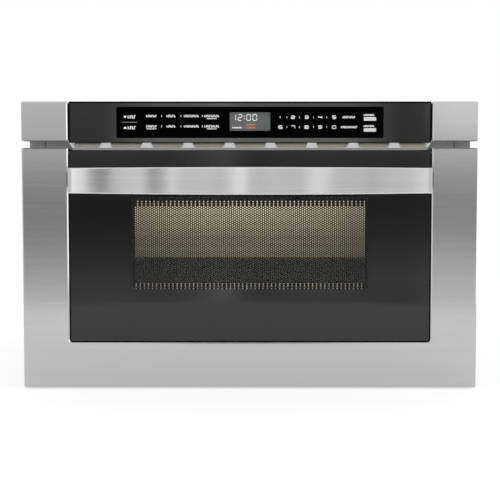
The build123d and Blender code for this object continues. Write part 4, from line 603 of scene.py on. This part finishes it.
def perforated(name, y, low, high, border):
    """A sheet with staggered holes. Every second column sits lower, as the punched pattern does."""
    points = []
    faces = []

    def quad(a, b, c, d):
        start = len(points)
        points.extend((px, y, pz) for px, pz in (a, b, c, d))
        faces.append([start, start + 1, start + 2, start + 3])

    width = 2 * MESH_HALF / COLUMNS
    for c in range(COLUMNS):
        left = -MESH_HALF + c * width
        right = -MESH_HALF + (c + 1) * width
        middle = (left + right) / 2
        first = MESH_TOP - 2.5 * PITCH * (1 - c % 2)
        quad((left, first + PITCH / 2), (right, first + PITCH / 2), (right, high), (left, high))
        last = first - (ROWS - 0.5) * PITCH
        quad((left, low), (right, low), (right, last), (left, last))
        for r in range(ROWS):
            zc = first - r * PITCH
            start = len(points)
            for i in range(8):
                a = math.radians(22.5 + 45 * i)
                points.append((middle + HOLE * math.cos(a), y, zc + HOLE * math.sin(a)))
            points.extend([(right, y, zc + PITCH / 2), (left, y, zc + PITCH / 2),
                           (left, y, zc - PITCH / 2), (right, y, zc - PITCH / 2)])
            o = [start + i for i in range(8)]
            k = [start + 8 + i for i in range(4)]
            faces.extend([[o[0], k[0], o[1]],
                          [o[1], k[0], k[1], o[2]], [o[2], k[1], o[3]],
                          [o[3], k[1], k[2], o[4]], [o[4], k[2], o[5]],
                          [o[5], k[2], k[3], o[6]], [o[6], k[3], o[7]],
                          [o[7], k[3], k[0], o[0]]])
    x0, z0, x1, z1 = border
    quad((x0, high), (x1, high), (x1, z1), (x0, z1))
    quad((x0, z0), (x1, z0), (x1, low), (x0, low))
    quad((x0, low), (-MESH_HALF, low), (-MESH_HALF, high), (x0, high))
    quad((MESH_HALF, low), (x1, low), (x1, high), (MESH_HALF, high))
    return piece(name, points, faces, SCREEN_BLACK, "drawer")


screen = span("window_screen")
mesh_sheet = perforated("window_mesh", (screen[1] + screen[4]) / 2, view[2], view[5],
                        (screen[0], screen[2], screen[3], screen[5]))
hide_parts("window_screen")


# ---------------------------------------------------------------- control glass, print and legends

LCD_ZONE = (-26.9, 345.3, 26.9, 369.7, 0.8)
TOUCH_FILM = (-177, 335.8, 177, 377.1, 2.0)
# How far the prints stand in front of the glass.
FILM_PROUD = 0.03
BORDER_PROUD = 0.02
INK_PROUD = 0.08

panel = span("control_glass")
PANEL_FRONT = panel[1]
panel_ring = slab("panel_glass_print", PANEL_FRONT, panel[4], front_of(panel, GLASS_CORNER), LCD_ZONE,
                  PANEL_GLASS, "chassis", 0.5)
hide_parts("control_glass")
slab("panel_glass_clear", PANEL_FRONT, panel[4], inset(LCD_ZONE, PANE_GAP), None,
     MATERIALS["control_glass"], "chassis")
film = Flat(PANEL_FRONT - FILM_PROUD, 0.02)
film.ring(rounded(*TOUCH_FILM), rounded(*LCD_ZONE))
film.place("touch_film", FILM, "chassis", "black_plastic")
border = Flat(PANEL_FRONT - BORDER_PROUD, 0.01)
border.ring(rounded(panel[0] + 0.6, panel[2] + 0.6, panel[3] - 0.6, panel[5] - 0.6, 1.2),
            rounded(panel[0] + 1.6, panel[2] + 1.2, panel[3] - 1.6, panel[5] - 2.2, 0.8))
border.place("panel_border", FILM, "chassis", "black_plastic")

ink = Flat(PANEL_FRONT - INK_PROUD)
dim = Flat(PANEL_FRONT - INK_PROUD)
pads = Flat(PANEL_FRONT - INK_PROUD)


def words(x, z, width, height=2.9, letters=None):
    """A label as a run of short strokes: it reads as print of that size, and spells nothing."""
    letters = letters or max(2, round(width / 2.2))
    step = width / letters
    for i in range(letters):
        left = x - width / 2 + i * step
        tall = height if (i * 7) % 5 else height * 0.9
        ink.bar(left + step * 0.2, z, step * 0.34, tall)
        ink.bar(left + step * 0.62, z + (tall / 2 - 0.4) * (1 if i % 2 else -1), step * 0.42, 0.8)
        if i % 3:
            ink.bar(left + step * 0.62, z - 0.2, step * 0.36, 0.7)


SEGMENTS = {"0": "abcdef", "1": "bc", "2": "abged", "3": "abgcd", "4": "fgbc",
            "5": "afgcd", "6": "afgecd", "7": "abc", "8": "abcdefg", "9": "abcdfg"}


def figure(flat, digit, x, z, width, height, stroke):
    """A seven-segment figure; x and z are its middle."""
    w, h, t = width / 2, height / 2, stroke / 2
    lines = {"a": (-w, h, w, h), "g": (-w, 0, w, 0), "d": (-w, -h, w, -h), "f": (-w, h, -w, 0),
             "b": (w, h, w, 0), "e": (-w, 0, -w, -h), "c": (w, 0, w, -h)}
    for key in SEGMENTS[digit]:
        x0, z0, x1, z1 = lines[key]
        if z0 == z1:
            outline = [(x0 + t * 0.3, z0), (x0 + t * 1.3, z0 + t), (x1 - t * 1.3, z0 + t),
                       (x1 - t * 0.3, z0), (x1 - t * 1.3, z0 - t), (x0 + t * 1.3, z0 - t)]
        else:
            outline = [(x0, z0 - t * 0.3), (x0 - t, z0 - t * 1.3), (x0 - t, z1 + t * 1.3),
                       (x0, z1 + t * 0.3), (x0 + t, z1 + t * 1.3), (x0 + t, z0 - t * 1.3)]
        flat.shape([(x + px, z + pz) for px, pz in outline])


def arrow(x, z, size, up):
    s = size if up else -size
    ink.shape([(x - size, z - s * 0.6), (x + size, z - s * 0.6), (x, z + s * 0.9)])


# Places across the control glass: arrows with their words, key labels with their widths, the rules
# between them, digits and pads.
ROW1, ROW2 = 364.2, 350.6
ARROW_X = -165.3
ARROW_WORDS_X = -156.4
ARROW_RULE = (-159.4, 356.6, 20.5, 0.6)
KEY_LABELS = ((-130.5, 14.0), (-104.5, 12.0), (-77.5, 20.0), (-50.5, 19.5))
SECOND_LINES = ((-50.5, ROW1 - 2.6), (-50.5, ROW2 - 2.6), (-130.5, ROW2 - 2.6))
KEY_RULES = (-117.0, -91.6, -63.1)
DIGIT_X = (40.4, 57.0, 74.8, 92.8, 111.3)
DIGIT_RULES = (48.8, 65.6, 84.0, 101.5)
LAST_LABELS = ((130.9, ROW1 - 0.9, 16.6), (131.4, ROW2 - 0.4, 21.4))
PAD_X = 158.8
PAD_LABEL_X = 157.6
PAD_ROWS = (361.0, 346.5)
NARROW_SHIFT = 3.0  # the figure 1 is only a right-hand stroke, so it sits further left

for z, up in ((ROW1 - 0.5, False), (ROW2 - 1.2, True)):
    arrow(ARROW_X, z, 2.2, up)
    words(ARROW_WORDS_X, z, 11.0, 4.2, 4)
dim.bar(*ARROW_RULE)
for z in (ROW1, ROW2):
    for x, width in KEY_LABELS:
        words(x, z + 0.6, width)
for x, z in SECOND_LINES:
    words(x, z, 13.0, 1.5)
for x in KEY_RULES:
    for z in (ROW1, ROW2):
        ink.bar(x, z + 0.6, 0.6, 2.6)
for z, digits in ((ROW1 - 1.0, "12345"), (ROW2 - 0.4, "67890")):
    for x, digit in zip(DIGIT_X, digits):
        figure(ink, digit, x - (NARROW_SHIFT if digit == "1" else 0.0), z, 4.8, 3.5, 0.95)
    for x in DIGIT_RULES:
        ink.bar(x, z, 0.5, 2.4)
for x, z, width in LAST_LABELS:
    words(x, z, width, 2.8)
for z in PAD_ROWS:
    pads.bar(PAD_X, z, 16.2, 4.7, 0.5)
    words(PAD_LABEL_X, z + 5.1, 14.4, 2.5)
pads.place("pads", PAD, "chassis", "white_plastic")
ink.place("legends", LEGEND, "chassis", "white_plastic")
dim.place("legend_rules", LEGEND_DIM, "chassis", "white_plastic")


# ---------------------------------------------------------------- display

LCD_FACE = span("display_module")[1] - 0.02
LCD_PRINT = LCD_FACE - 0.05
LCD_PLATE = (0, 357.5, 55.0, 26.0, 0.8)
CLOCK_DIGITS = (("1", -21.6), ("2", -13.4), ("0", -1.8), ("0", 6.4))
CLOCK_Z = 363.0
COLON_X = -7.6
LABEL_Z = 349.6
LABEL_START = -22.9
WAVE_START = -5.2
WAVE_HALF_STROKE = 0.55

lcd = Flat(LCD_FACE, 0.01)
lcd.bar(*LCD_PLATE)
lcd.place("lcd_face", LCD, "chassis", "black_plastic")
clock = Flat(LCD_PRINT)
for digit, x in CLOCK_DIGITS:
    figure(clock, digit, x, CLOCK_Z, 5.0, 8.0, 1.15)
for dot in (-1.8, 1.8):
    clock.bar(COLON_X, CLOCK_Z + dot, 1.2, 1.2)
clock.place("lcd_clock", LCD_DIGIT, "chassis", "white_plastic")
label = Flat(LCD_PRINT)
for i in range(6):
    label.bar(LABEL_START + i * 2.2, LABEL_Z, 1.6, 2.0)
label.place("lcd_label", LCD_DIGIT, "chassis", "white_plastic")
waves = Flat(LCD_PRINT)
for z in (LABEL_Z, LABEL_Z + 3.9):
    line = [(WAVE_START + i * 2.05, z + (1.0 if i % 2 else -1.0)) for i in range(7)]
    upper = [(x, crest + WAVE_HALF_STROKE) for x, crest in line]
    lower = [(x, crest - WAVE_HALF_STROKE) for x, crest in line]
    waves.shape(upper + lower[::-1])
waves.place("lcd_heat", LCD_ORANGE, "chassis", "white_plastic")


# ---------------------------------------------------------------- between the control panel and the drawer

SEAM_MIDDLE = 327.5
SEAM_LENGTH = 15.0
CHEEK = ((246.5, 332.6), (244.0, 332.6), (237.2, 325.0), (239.4, 323.4), (242.0, 325.4))

frame_front = span("front_frame")[1]
wrap = span("chassis_wrap")
# Dark bars at the sides of the front frame: painted shadow in the joints there.
seam_shadows = Flat(frame_front - 0.04)
cheeks = Flat(frame_front - 0.3, 0.25)
for side in (-1, 1):
    seam_shadows.bar(side * wrap[3], SEAM_MIDDLE, 0.7, SEAM_LENGTH)
    cheeks.shape([(side * x, z) for x, z in CHEEK])
seam_shadows.place("frame_seam_shadows", SHADOW_INK, "chassis", "galvanised")
cheeks.place("louvre_cheeks", MATERIALS["louvre_enamel"], "chassis", "louvre_enamel")


# ---------------------------------------------------------------- sheet-metal details of the casing

# For each face: the way out of it, to the right of one who looks at it, and upwards.
FACES = {"left": ((-1, 0, 0), (0, -1, 0), (0, 0, 1)), "right": ((1, 0, 0), (0, 1, 0), (0, 0, 1)),
         "top": ((0, 0, 1), (1, 0, 0), (0, 1, 0)), "rear": ((0, 1, 0), (-1, 0, 0), (0, 0, 1))}
CROSS = [(2.0, 0.5), (0.5, 0.5), (0.5, 2.0), (-0.5, 2.0), (-0.5, 0.5), (-2.0, 0.5),
         (-2.0, -0.5), (-0.5, -0.5), (-0.5, -2.0), (0.5, -2.0), (0.5, -0.5), (2.0, -0.5)]
PAN_RADIUS = 3.6
PAN_HEIGHT = 2.0
PAN_PROFILE = ((1.0, 0.0), (1.0, 0.25), (0.86, 0.75), (0.66, 1.0))
RECESS_FLOOR = 0.45
BEAD_WIDTH = 16.0
BEAD_HEIGHT = 1.4
BEAD_PROFILE = ((0.0, 0.0), (1.2, 0.55), (2.6, 0.92), (4.2, 1.0))


def cross_at(a, b, turn):
    """The outline of a cross recess round a point, turned by an angle."""
    c = math.cos(turn)
    s = math.sin(turn)
    return [(a + u * c - v * s, b + u * s + v * c) for u, v in CROSS]


class Skin:
    """Small raised or sunk forms on one face of the casing, gathered into one mesh."""

    def __init__(self, face, level):
        self.out, self.right, self.up = (Vector(v) for v in FACES[face])
        self.level = level
        self.points = []
        self.faces = []

    def stack(self, loops):
        """A closed form from outlines one above the other: each a list of points and its height."""
        start = len(self.points)
        n = len(loops[0][0])
        for outline, height in loops:
            for a, b in outline:
                self.points.append(self.right * a + self.up * b + self.out * (self.level + height))
        for k in range(len(loops) - 1):
            low = start + k * n
            high = low + n
            for i in range(n):
                j = (i + 1) % n
                self.faces.append([low + i, low + j, high + j, high + i])
        self.faces.append([start + (len(loops) - 1) * n + i for i in range(n)])
        self.faces.append([start + i for i in range(n)][::-1])

    def screw(self, a, b, turn):
        """A pan head with a cross recess."""
        cross = cross_at(a, b, turn)
        angles = [math.atan2(v, u) + turn for u, v in CROSS]
        loops = []
        for reach, rise in PAN_PROFILE:
            r = reach * PAN_RADIUS
            loops.append(([(a + r * math.cos(angle), b + r * math.sin(angle)) for angle in angles],
                          rise * PAN_HEIGHT))
        self.stack(loops + [(cross, PAN_HEIGHT), (cross, RECESS_FLOOR * PAN_HEIGHT)])

    def bead(self, a0, b0, a1, b1):
        """A pressed stiffening rib with sloping sides."""
        loops = []
        for shrink, rise in BEAD_PROFILE:
            half = min(a1 - a0, b1 - b0) / 2 - shrink
            loops.append((rounded(a0 + shrink, b0 + shrink, a1 - shrink, b1 - shrink, half - 0.01),
                          rise * BEAD_HEIGHT))
        self.stack(loops)

    def place(self, name, material, slot):
        return piece(name, self.points, self.faces, material, "chassis")


FRONT_SCREWS_Y = 12.0
REAR_SCREWS_Y = 574.0
BEADS_FROM = 70.0
SIDE_BEADS_TO = 420.0
SIDE_BEADS_Z = (76.0, 300.0)
TOP_BEADS_TO = 510.0
TOP_BEADS_X = (-170.0, -8.0, 154.0)
TOP_SCREWS_X = (-250, -125, 0, 125, 250)
SIDE_SCREWS = [(y, 9.0) for y in (60, 190, 320, 450, 556)]
SIDE_SCREWS += [(REAR_SCREWS_Y, z) for z in (90, 200, 310)]

for side, sign in (("left", -1), ("right", 1)):
    heads = Skin(side, wrap[3])
    for i, (y, z) in enumerate(SIDE_SCREWS):
        heads.screw(sign * y, z, 0.65 * i)
    heads.place(f"side_screws_{side}", MATERIALS["slide_steel"], "slide_steel")
    beads = Skin(side, wrap[3])
    low, high = sorted((sign * BEADS_FROM, sign * SIDE_BEADS_TO))
    for z in SIDE_BEADS_Z:
        beads.bead(low, z, high, z + BEAD_WIDTH)
    beads.place(f"side_beads_{side}", MATERIALS["galvanised"], "galvanised")

heads = Skin("top", wrap[5])
for i, x in enumerate(TOP_SCREWS_X):
    heads.screw(x, REAR_SCREWS_Y, 0.7 * i)
    heads.screw(x, FRONT_SCREWS_Y, 0.4 + 0.7 * i)
heads.place("top_screws", MATERIALS["slide_steel"], "slide_steel")
beads = Skin("top", wrap[5])
for x in TOP_BEADS_X:
    beads.bead(x, BEADS_FROM, x + BEAD_WIDTH, TOP_BEADS_TO)
beads.place("top_beads", MATERIALS["galvanised"], "galvanised")

# The rear screws are nearly flush: a wider dark disc painted as the shadow round the head, a head, and a
# dark
# # cross painted as the shade in its recess, each standing 0.01 above the one before.
REAR_SCREWS = [(x, z) for x in (-255, -85, 85, 255) for z in (12, 357)]
REAR_SCREWS += [(x, z) for x in (-266, 266) for z in (125, 240)]
SUNK = -0.8
heads = Skin("rear", wrap[4])
# The dark discs and crosses here are painted shadow and shade.
marks = Skin("rear", wrap[4])
for i, (x, z) in enumerate(REAR_SCREWS):
    for skin, r, proud in ((marks, 4.4, 0.01), (heads, 3.7, 0.02)):
        disc = [(-x + r * math.cos(math.radians(k * 30)), z + r * math.sin(math.radians(k * 30)))
                for k in range(12)]
        skin.stack([(disc, SUNK), (disc, proud)])
    cross = cross_at(-x, z, 0.55 * i)
    marks.stack([(cross, SUNK), (cross, 0.03)])
heads.place("rear_screws", MATERIALS["slide_steel"], "slide_steel")
marks.place("rear_screw_shadows", SHADOW_INK, "slide_steel")


# ---------------------------------------------------------------- floor, world, lamps and camera, in metres

def either_ray(tree, *kinds):
    """1 for the named kinds of ray, 0 for the rest."""
    outputs = add_node(tree, "LightPath").outputs
    total = outputs[kinds[0]]
    for kind in kinds[1:]:
        most = add_node(tree, "Math", operation="MAXIMUM")
        tree.links.new(total, most.inputs[0])
        tree.links.new(outputs[kind], most.inputs[1])
        total = most.outputs["Value"]
    return total


def mix_shaders(tree, amount, first, second):
    node = add_node(tree, "MixShader")
    for socket, source in zip(node.inputs, (amount, first, second)):
        tree.links.new(source, socket)
    return node.outputs[0]


FLOOR_RADIUS = 1.32
FLOOR_MIDDLE = (0, 0.25, -0.0004)
FLOOR_GREY = 0.8
# To the eye, metal and glass, the floor is white paper: part of its light is its own.
PAPER_GREY = 0.55
PAPER_GLOW = 0.56


def floor():
    bpy.ops.mesh.primitive_circle_add(vertices=96, radius=FLOOR_RADIUS, fill_type="NGON",
                                      location=FLOOR_MIDDLE)
    obj = bpy.context.object
    obj.name = "floor"
    mat = bpy.data.materials.new("floor_paper")
    mat.use_nodes = True
    tree = mat.node_tree
    tree.nodes.clear()
    plain = add_node(tree, "BsdfDiffuse")
    plain.inputs["Color"].default_value = (FLOOR_GREY, FLOOR_GREY, FLOOR_GREY, 1)
    paper = add_node(tree, "BsdfDiffuse")
    paper.inputs["Color"].default_value = (PAPER_GREY, PAPER_GREY, PAPER_GREY, 1)
    glow = add_node(tree, "Emission")
    glow.inputs["Strength"].default_value = PAPER_GLOW
    both = add_node(tree, "AddShader")
    tree.links.new(paper.outputs[0], both.inputs[0])
    tree.links.new(glow.outputs[0], both.inputs[1])
    seen = either_ray(tree, "Is Camera Ray", "Is Glossy Ray", "Is Transmission Ray")
    final = mix_shaders(tree, seen, plain.outputs[0], both.outputs[0])
    tree.links.new(final, add_node(tree, "OutputMaterial").inputs["Surface"])
    obj.data.materials.append(mat)


# What metal and glass reflect, as brightness against an angle in degrees. The first two go by the height
# above the horizon, near it and all the way up; the others by the way round, near the front and all round.
HORIZON = ((-15, 1.0), (-8, 1.0), (-7.2, 0.95), (-6.4, 0.96), (-5.6, 0.84), (-4.7, 0.55), (-3.4, 0.33),
           (-2.2, 0.27), (-1.1, 0.42), (-0.2, 0.68), (0.4, 0.80), (1.2, 0.86), (2.2, 1.0), (4, 1.08),
           (15, 1.0))
ZENITH = ((-90, 1.0), (20, 1.0), (60, 1.0), (75, 1.15), (90, 1.2))
STRIPS = ((-30, 0.9), (-26.5, 1.6), (-24.6, 1.6), (-23.2, 1.28), (-21.6, 0.45), (-20.2, 0.32),
          (-19, 0.92), (-16.5, 1.03), (-14.8, 1.12), (-13.6, 0.34), (-12.2, 0.66), (-10.8, 1.38),
          (-9.6, 0.90), (-6, 0.96), (-3.8, 0.85), (-2.4, 1.12), (-1.2, 1.6), (0.1, 0.8),
          (3, 0.94), (7, 0.82), (8.3, 1.03), (9.6, 1.18), (10.9, 0.98), (13, 0.86),
          (15.6, 0.9), (17, 0.72), (18.3, 0.9), (22.2, 0.92), (23.7, 1.2), (26, 1.2),
          (30, 0.9))
ROUND = ((-180, 0.8), (-150, 1.0), (-120, 0.7), (-90, 1.15), (-78, 1.15), (-60, 0.8), (55, 0.85), (68, 1.7),
         (80, 2.1), (98, 2.1), (112, 1.0), (130, 0.7), (155, 1.0), (180, 0.8))
# Brighter patches: gain against the way round, and how much of it against the height.
PATCHES = (
    (((-30, 1.0), (7.5, 1.0), (8.2, 1.75), (10.4, 1.75), (12, 1.0), (30, 1.0)),
     ((-15, 0.0), (0.3, 0.0), (2.0, 1.0), (2.6, 1.0), (3.3, 0.0), (15, 0.0))),
    (((-30, 1.0), (4.5, 1.0), (5.7, 1.45), (7.4, 1.5), (8.0, 1.42), (10, 1.42), (12, 1.0), (30, 1.0)),
     ((-15, 0.0), (-6.4, 0.0), (-4.8, 0.9), (-3.6, 1.0), (-2.1, 0.6), (-1.2, 0.0), (15, 0.0))))
# The detail of the front gives way to the rest between these angles, round and up.
ASIDE = (30, 50)
HIGH = (25, 50)
EVEN_LIGHT = 0.62


def world():
    """White to the eye. To metal and glass it is a studio: a grey band at the horizon between the pale
    floor and tall soft boxes, with a few upright strips. To everything else it is even soft light."""
    w = bpy.data.worlds.new("studio")
    bpy.context.scene.world = w
    w.use_nodes = True
    tree = w.node_tree
    tree.nodes.clear()

    def calc(operation, a, b=None):
        node = add_node(tree, "Math", operation=operation)
        for socket, value in zip(node.inputs, (a, b)):
            if isinstance(value, bpy.types.NodeSocket):
                tree.links.new(value, socket)
            elif value is not None:
                socket.default_value = value
        return node.outputs["Value"]

    def curve(angle, stops):
        """Brightness against an angle, from the first stop to the last."""
        low = stops[0][0]
        high = stops[-1][0]
        ramp = add_node(tree, "ValToRGB")
        ramp.color_ramp.interpolation = "EASE"
        elements = ramp.color_ramp.elements
        while len(elements) > 1:
            elements.remove(elements[-1])
        elements[0].position = 0.0
        for i, (degrees, value) in enumerate(stops):
            stop = elements.new((degrees - low) / (high - low)) if i else elements[0]
            stop.color = (value, value, value, 1)
        tree.links.new(calc("DIVIDE", calc("SUBTRACT", angle, low), high - low), ramp.inputs["Fac"])
        return ramp.outputs["Color"]

    def eased(angle, low, high):
        node = add_node(tree, "MapRange", interpolation_type="SMOOTHSTEP")
        tree.links.new(angle, node.inputs["Value"])
        node.inputs["From Min"].default_value = low
        node.inputs["From Max"].default_value = high
        return node.outputs["Result"]

    def blend(amount, a, b, kind="MIX"):
        node = add_node(tree, "Mix", data_type="RGBA", blend_type=kind)
        if amount is not None:
            tree.links.new(amount, node.inputs["Factor"])
        else:
            node.inputs["Factor"].default_value = 1.0
        tree.links.new(a, node.inputs[6])
        tree.links.new(b, node.inputs[7])
        return node.outputs[2]

    def white(strength):
        node = add_node(tree, "Background")
        node.inputs["Color"].default_value = (1, 1, 1, 1)
        node.inputs["Strength"].default_value = strength
        return node.outputs[0]

    split = add_node(tree, "SeparateXYZ")
    tree.links.new(add_node(tree, "TexCoord").outputs["Generated"], split.inputs[0])
    x, y, z = split.outputs
    height = calc("MULTIPLY", calc("ARCSINE", z), 180 / math.pi)
    bearing = calc("MULTIPLY", calc("ARCTAN2", x, calc("MULTIPLY", y, -1.0)), 180 / math.pi)
    front = blend(None, curve(height, HORIZON), curve(bearing, STRIPS), "MULTIPLY")
    around = blend(eased(calc("ABSOLUTE", bearing), *ASIDE), front, curve(bearing, ROUND))
    shown = blend(eased(height, *HIGH), around, curve(height, ZENITH))
    for gain, amount in PATCHES:
        shown = blend(curve(height, amount), shown, curve(bearing, gain), "MULTIPLY")
    studio = add_node(tree, "Background")
    tree.links.new(shown, studio.inputs["Color"])
    glossy = either_ray(tree, "Is Glossy Ray")
    lighting = mix_shaders(tree, glossy, white(EVEN_LIGHT), studio.outputs[0])
    seen = either_ray(tree, "Is Camera Ray", "Is Transmission Ray")
    final = mix_shaders(tree, seen, lighting, white(1.0))
    tree.links.new(final, add_node(tree, "OutputWorld").inputs["Surface"])


def lamp(name, place, target, size, watts, colour=(1, 1, 1)):
    """A rectangular lamp that lights the object, and isn't itself seen or reflected."""
    data = bpy.data.lights.new(name, "AREA")
    data.shape = "RECTANGLE"
    data.size, data.size_y = size
    data.energy = watts
    data.color = colour
    obj = bpy.data.objects.new(name, data)
    bpy.context.scene.collection.objects.link(obj)
    obj.location = place
    obj.rotation_euler = (Vector(target) - Vector(place)).to_track_quat("-Z", "Y").to_euler()
    obj.visible_glossy = False
    obj.visible_camera = False
    obj.visible_transmission = False


floor()
world()
lamp("front", (0, -2.3, 0.30), (0, 0, 0.32), (0.6, 0.12), 24)
lamp("key", (-1.5, -1.7, 2.0), (0, 0.1, 0.2), (1.2, 1.2), 16)
lamp("fill", (1.7, -1.2, 1.5), (0, 0.2, 0.2), (1.2, 1.2), 10)
lamp("back", (0.3, 2.1, 1.8), (0, 0.3, 0.2), (1.4, 1.0), 14)
lamp("oven_light", (0.0, 0.2, 0.25), (0.0, 0.24, 0.1), (0.30, 0.20), 0.85, (1.0, 0.965, 0.89))

CAMERA_PLACE = (0.0, -1.738, 0.3117)
CAMERA_DIP = 4.19
camera = bpy.data.objects.new("camera", bpy.data.cameras.new("camera"))
bpy.context.scene.collection.objects.link(camera)
camera.location = CAMERA_PLACE
camera.rotation_euler = (math.radians(90 - CAMERA_DIP), 0, 0)
camera.data.lens = 92.12
camera.data.sensor_width = 36.0
bpy.context.scene.camera = camera
bpy.context.scene.view_settings.view_transform = "Standard"
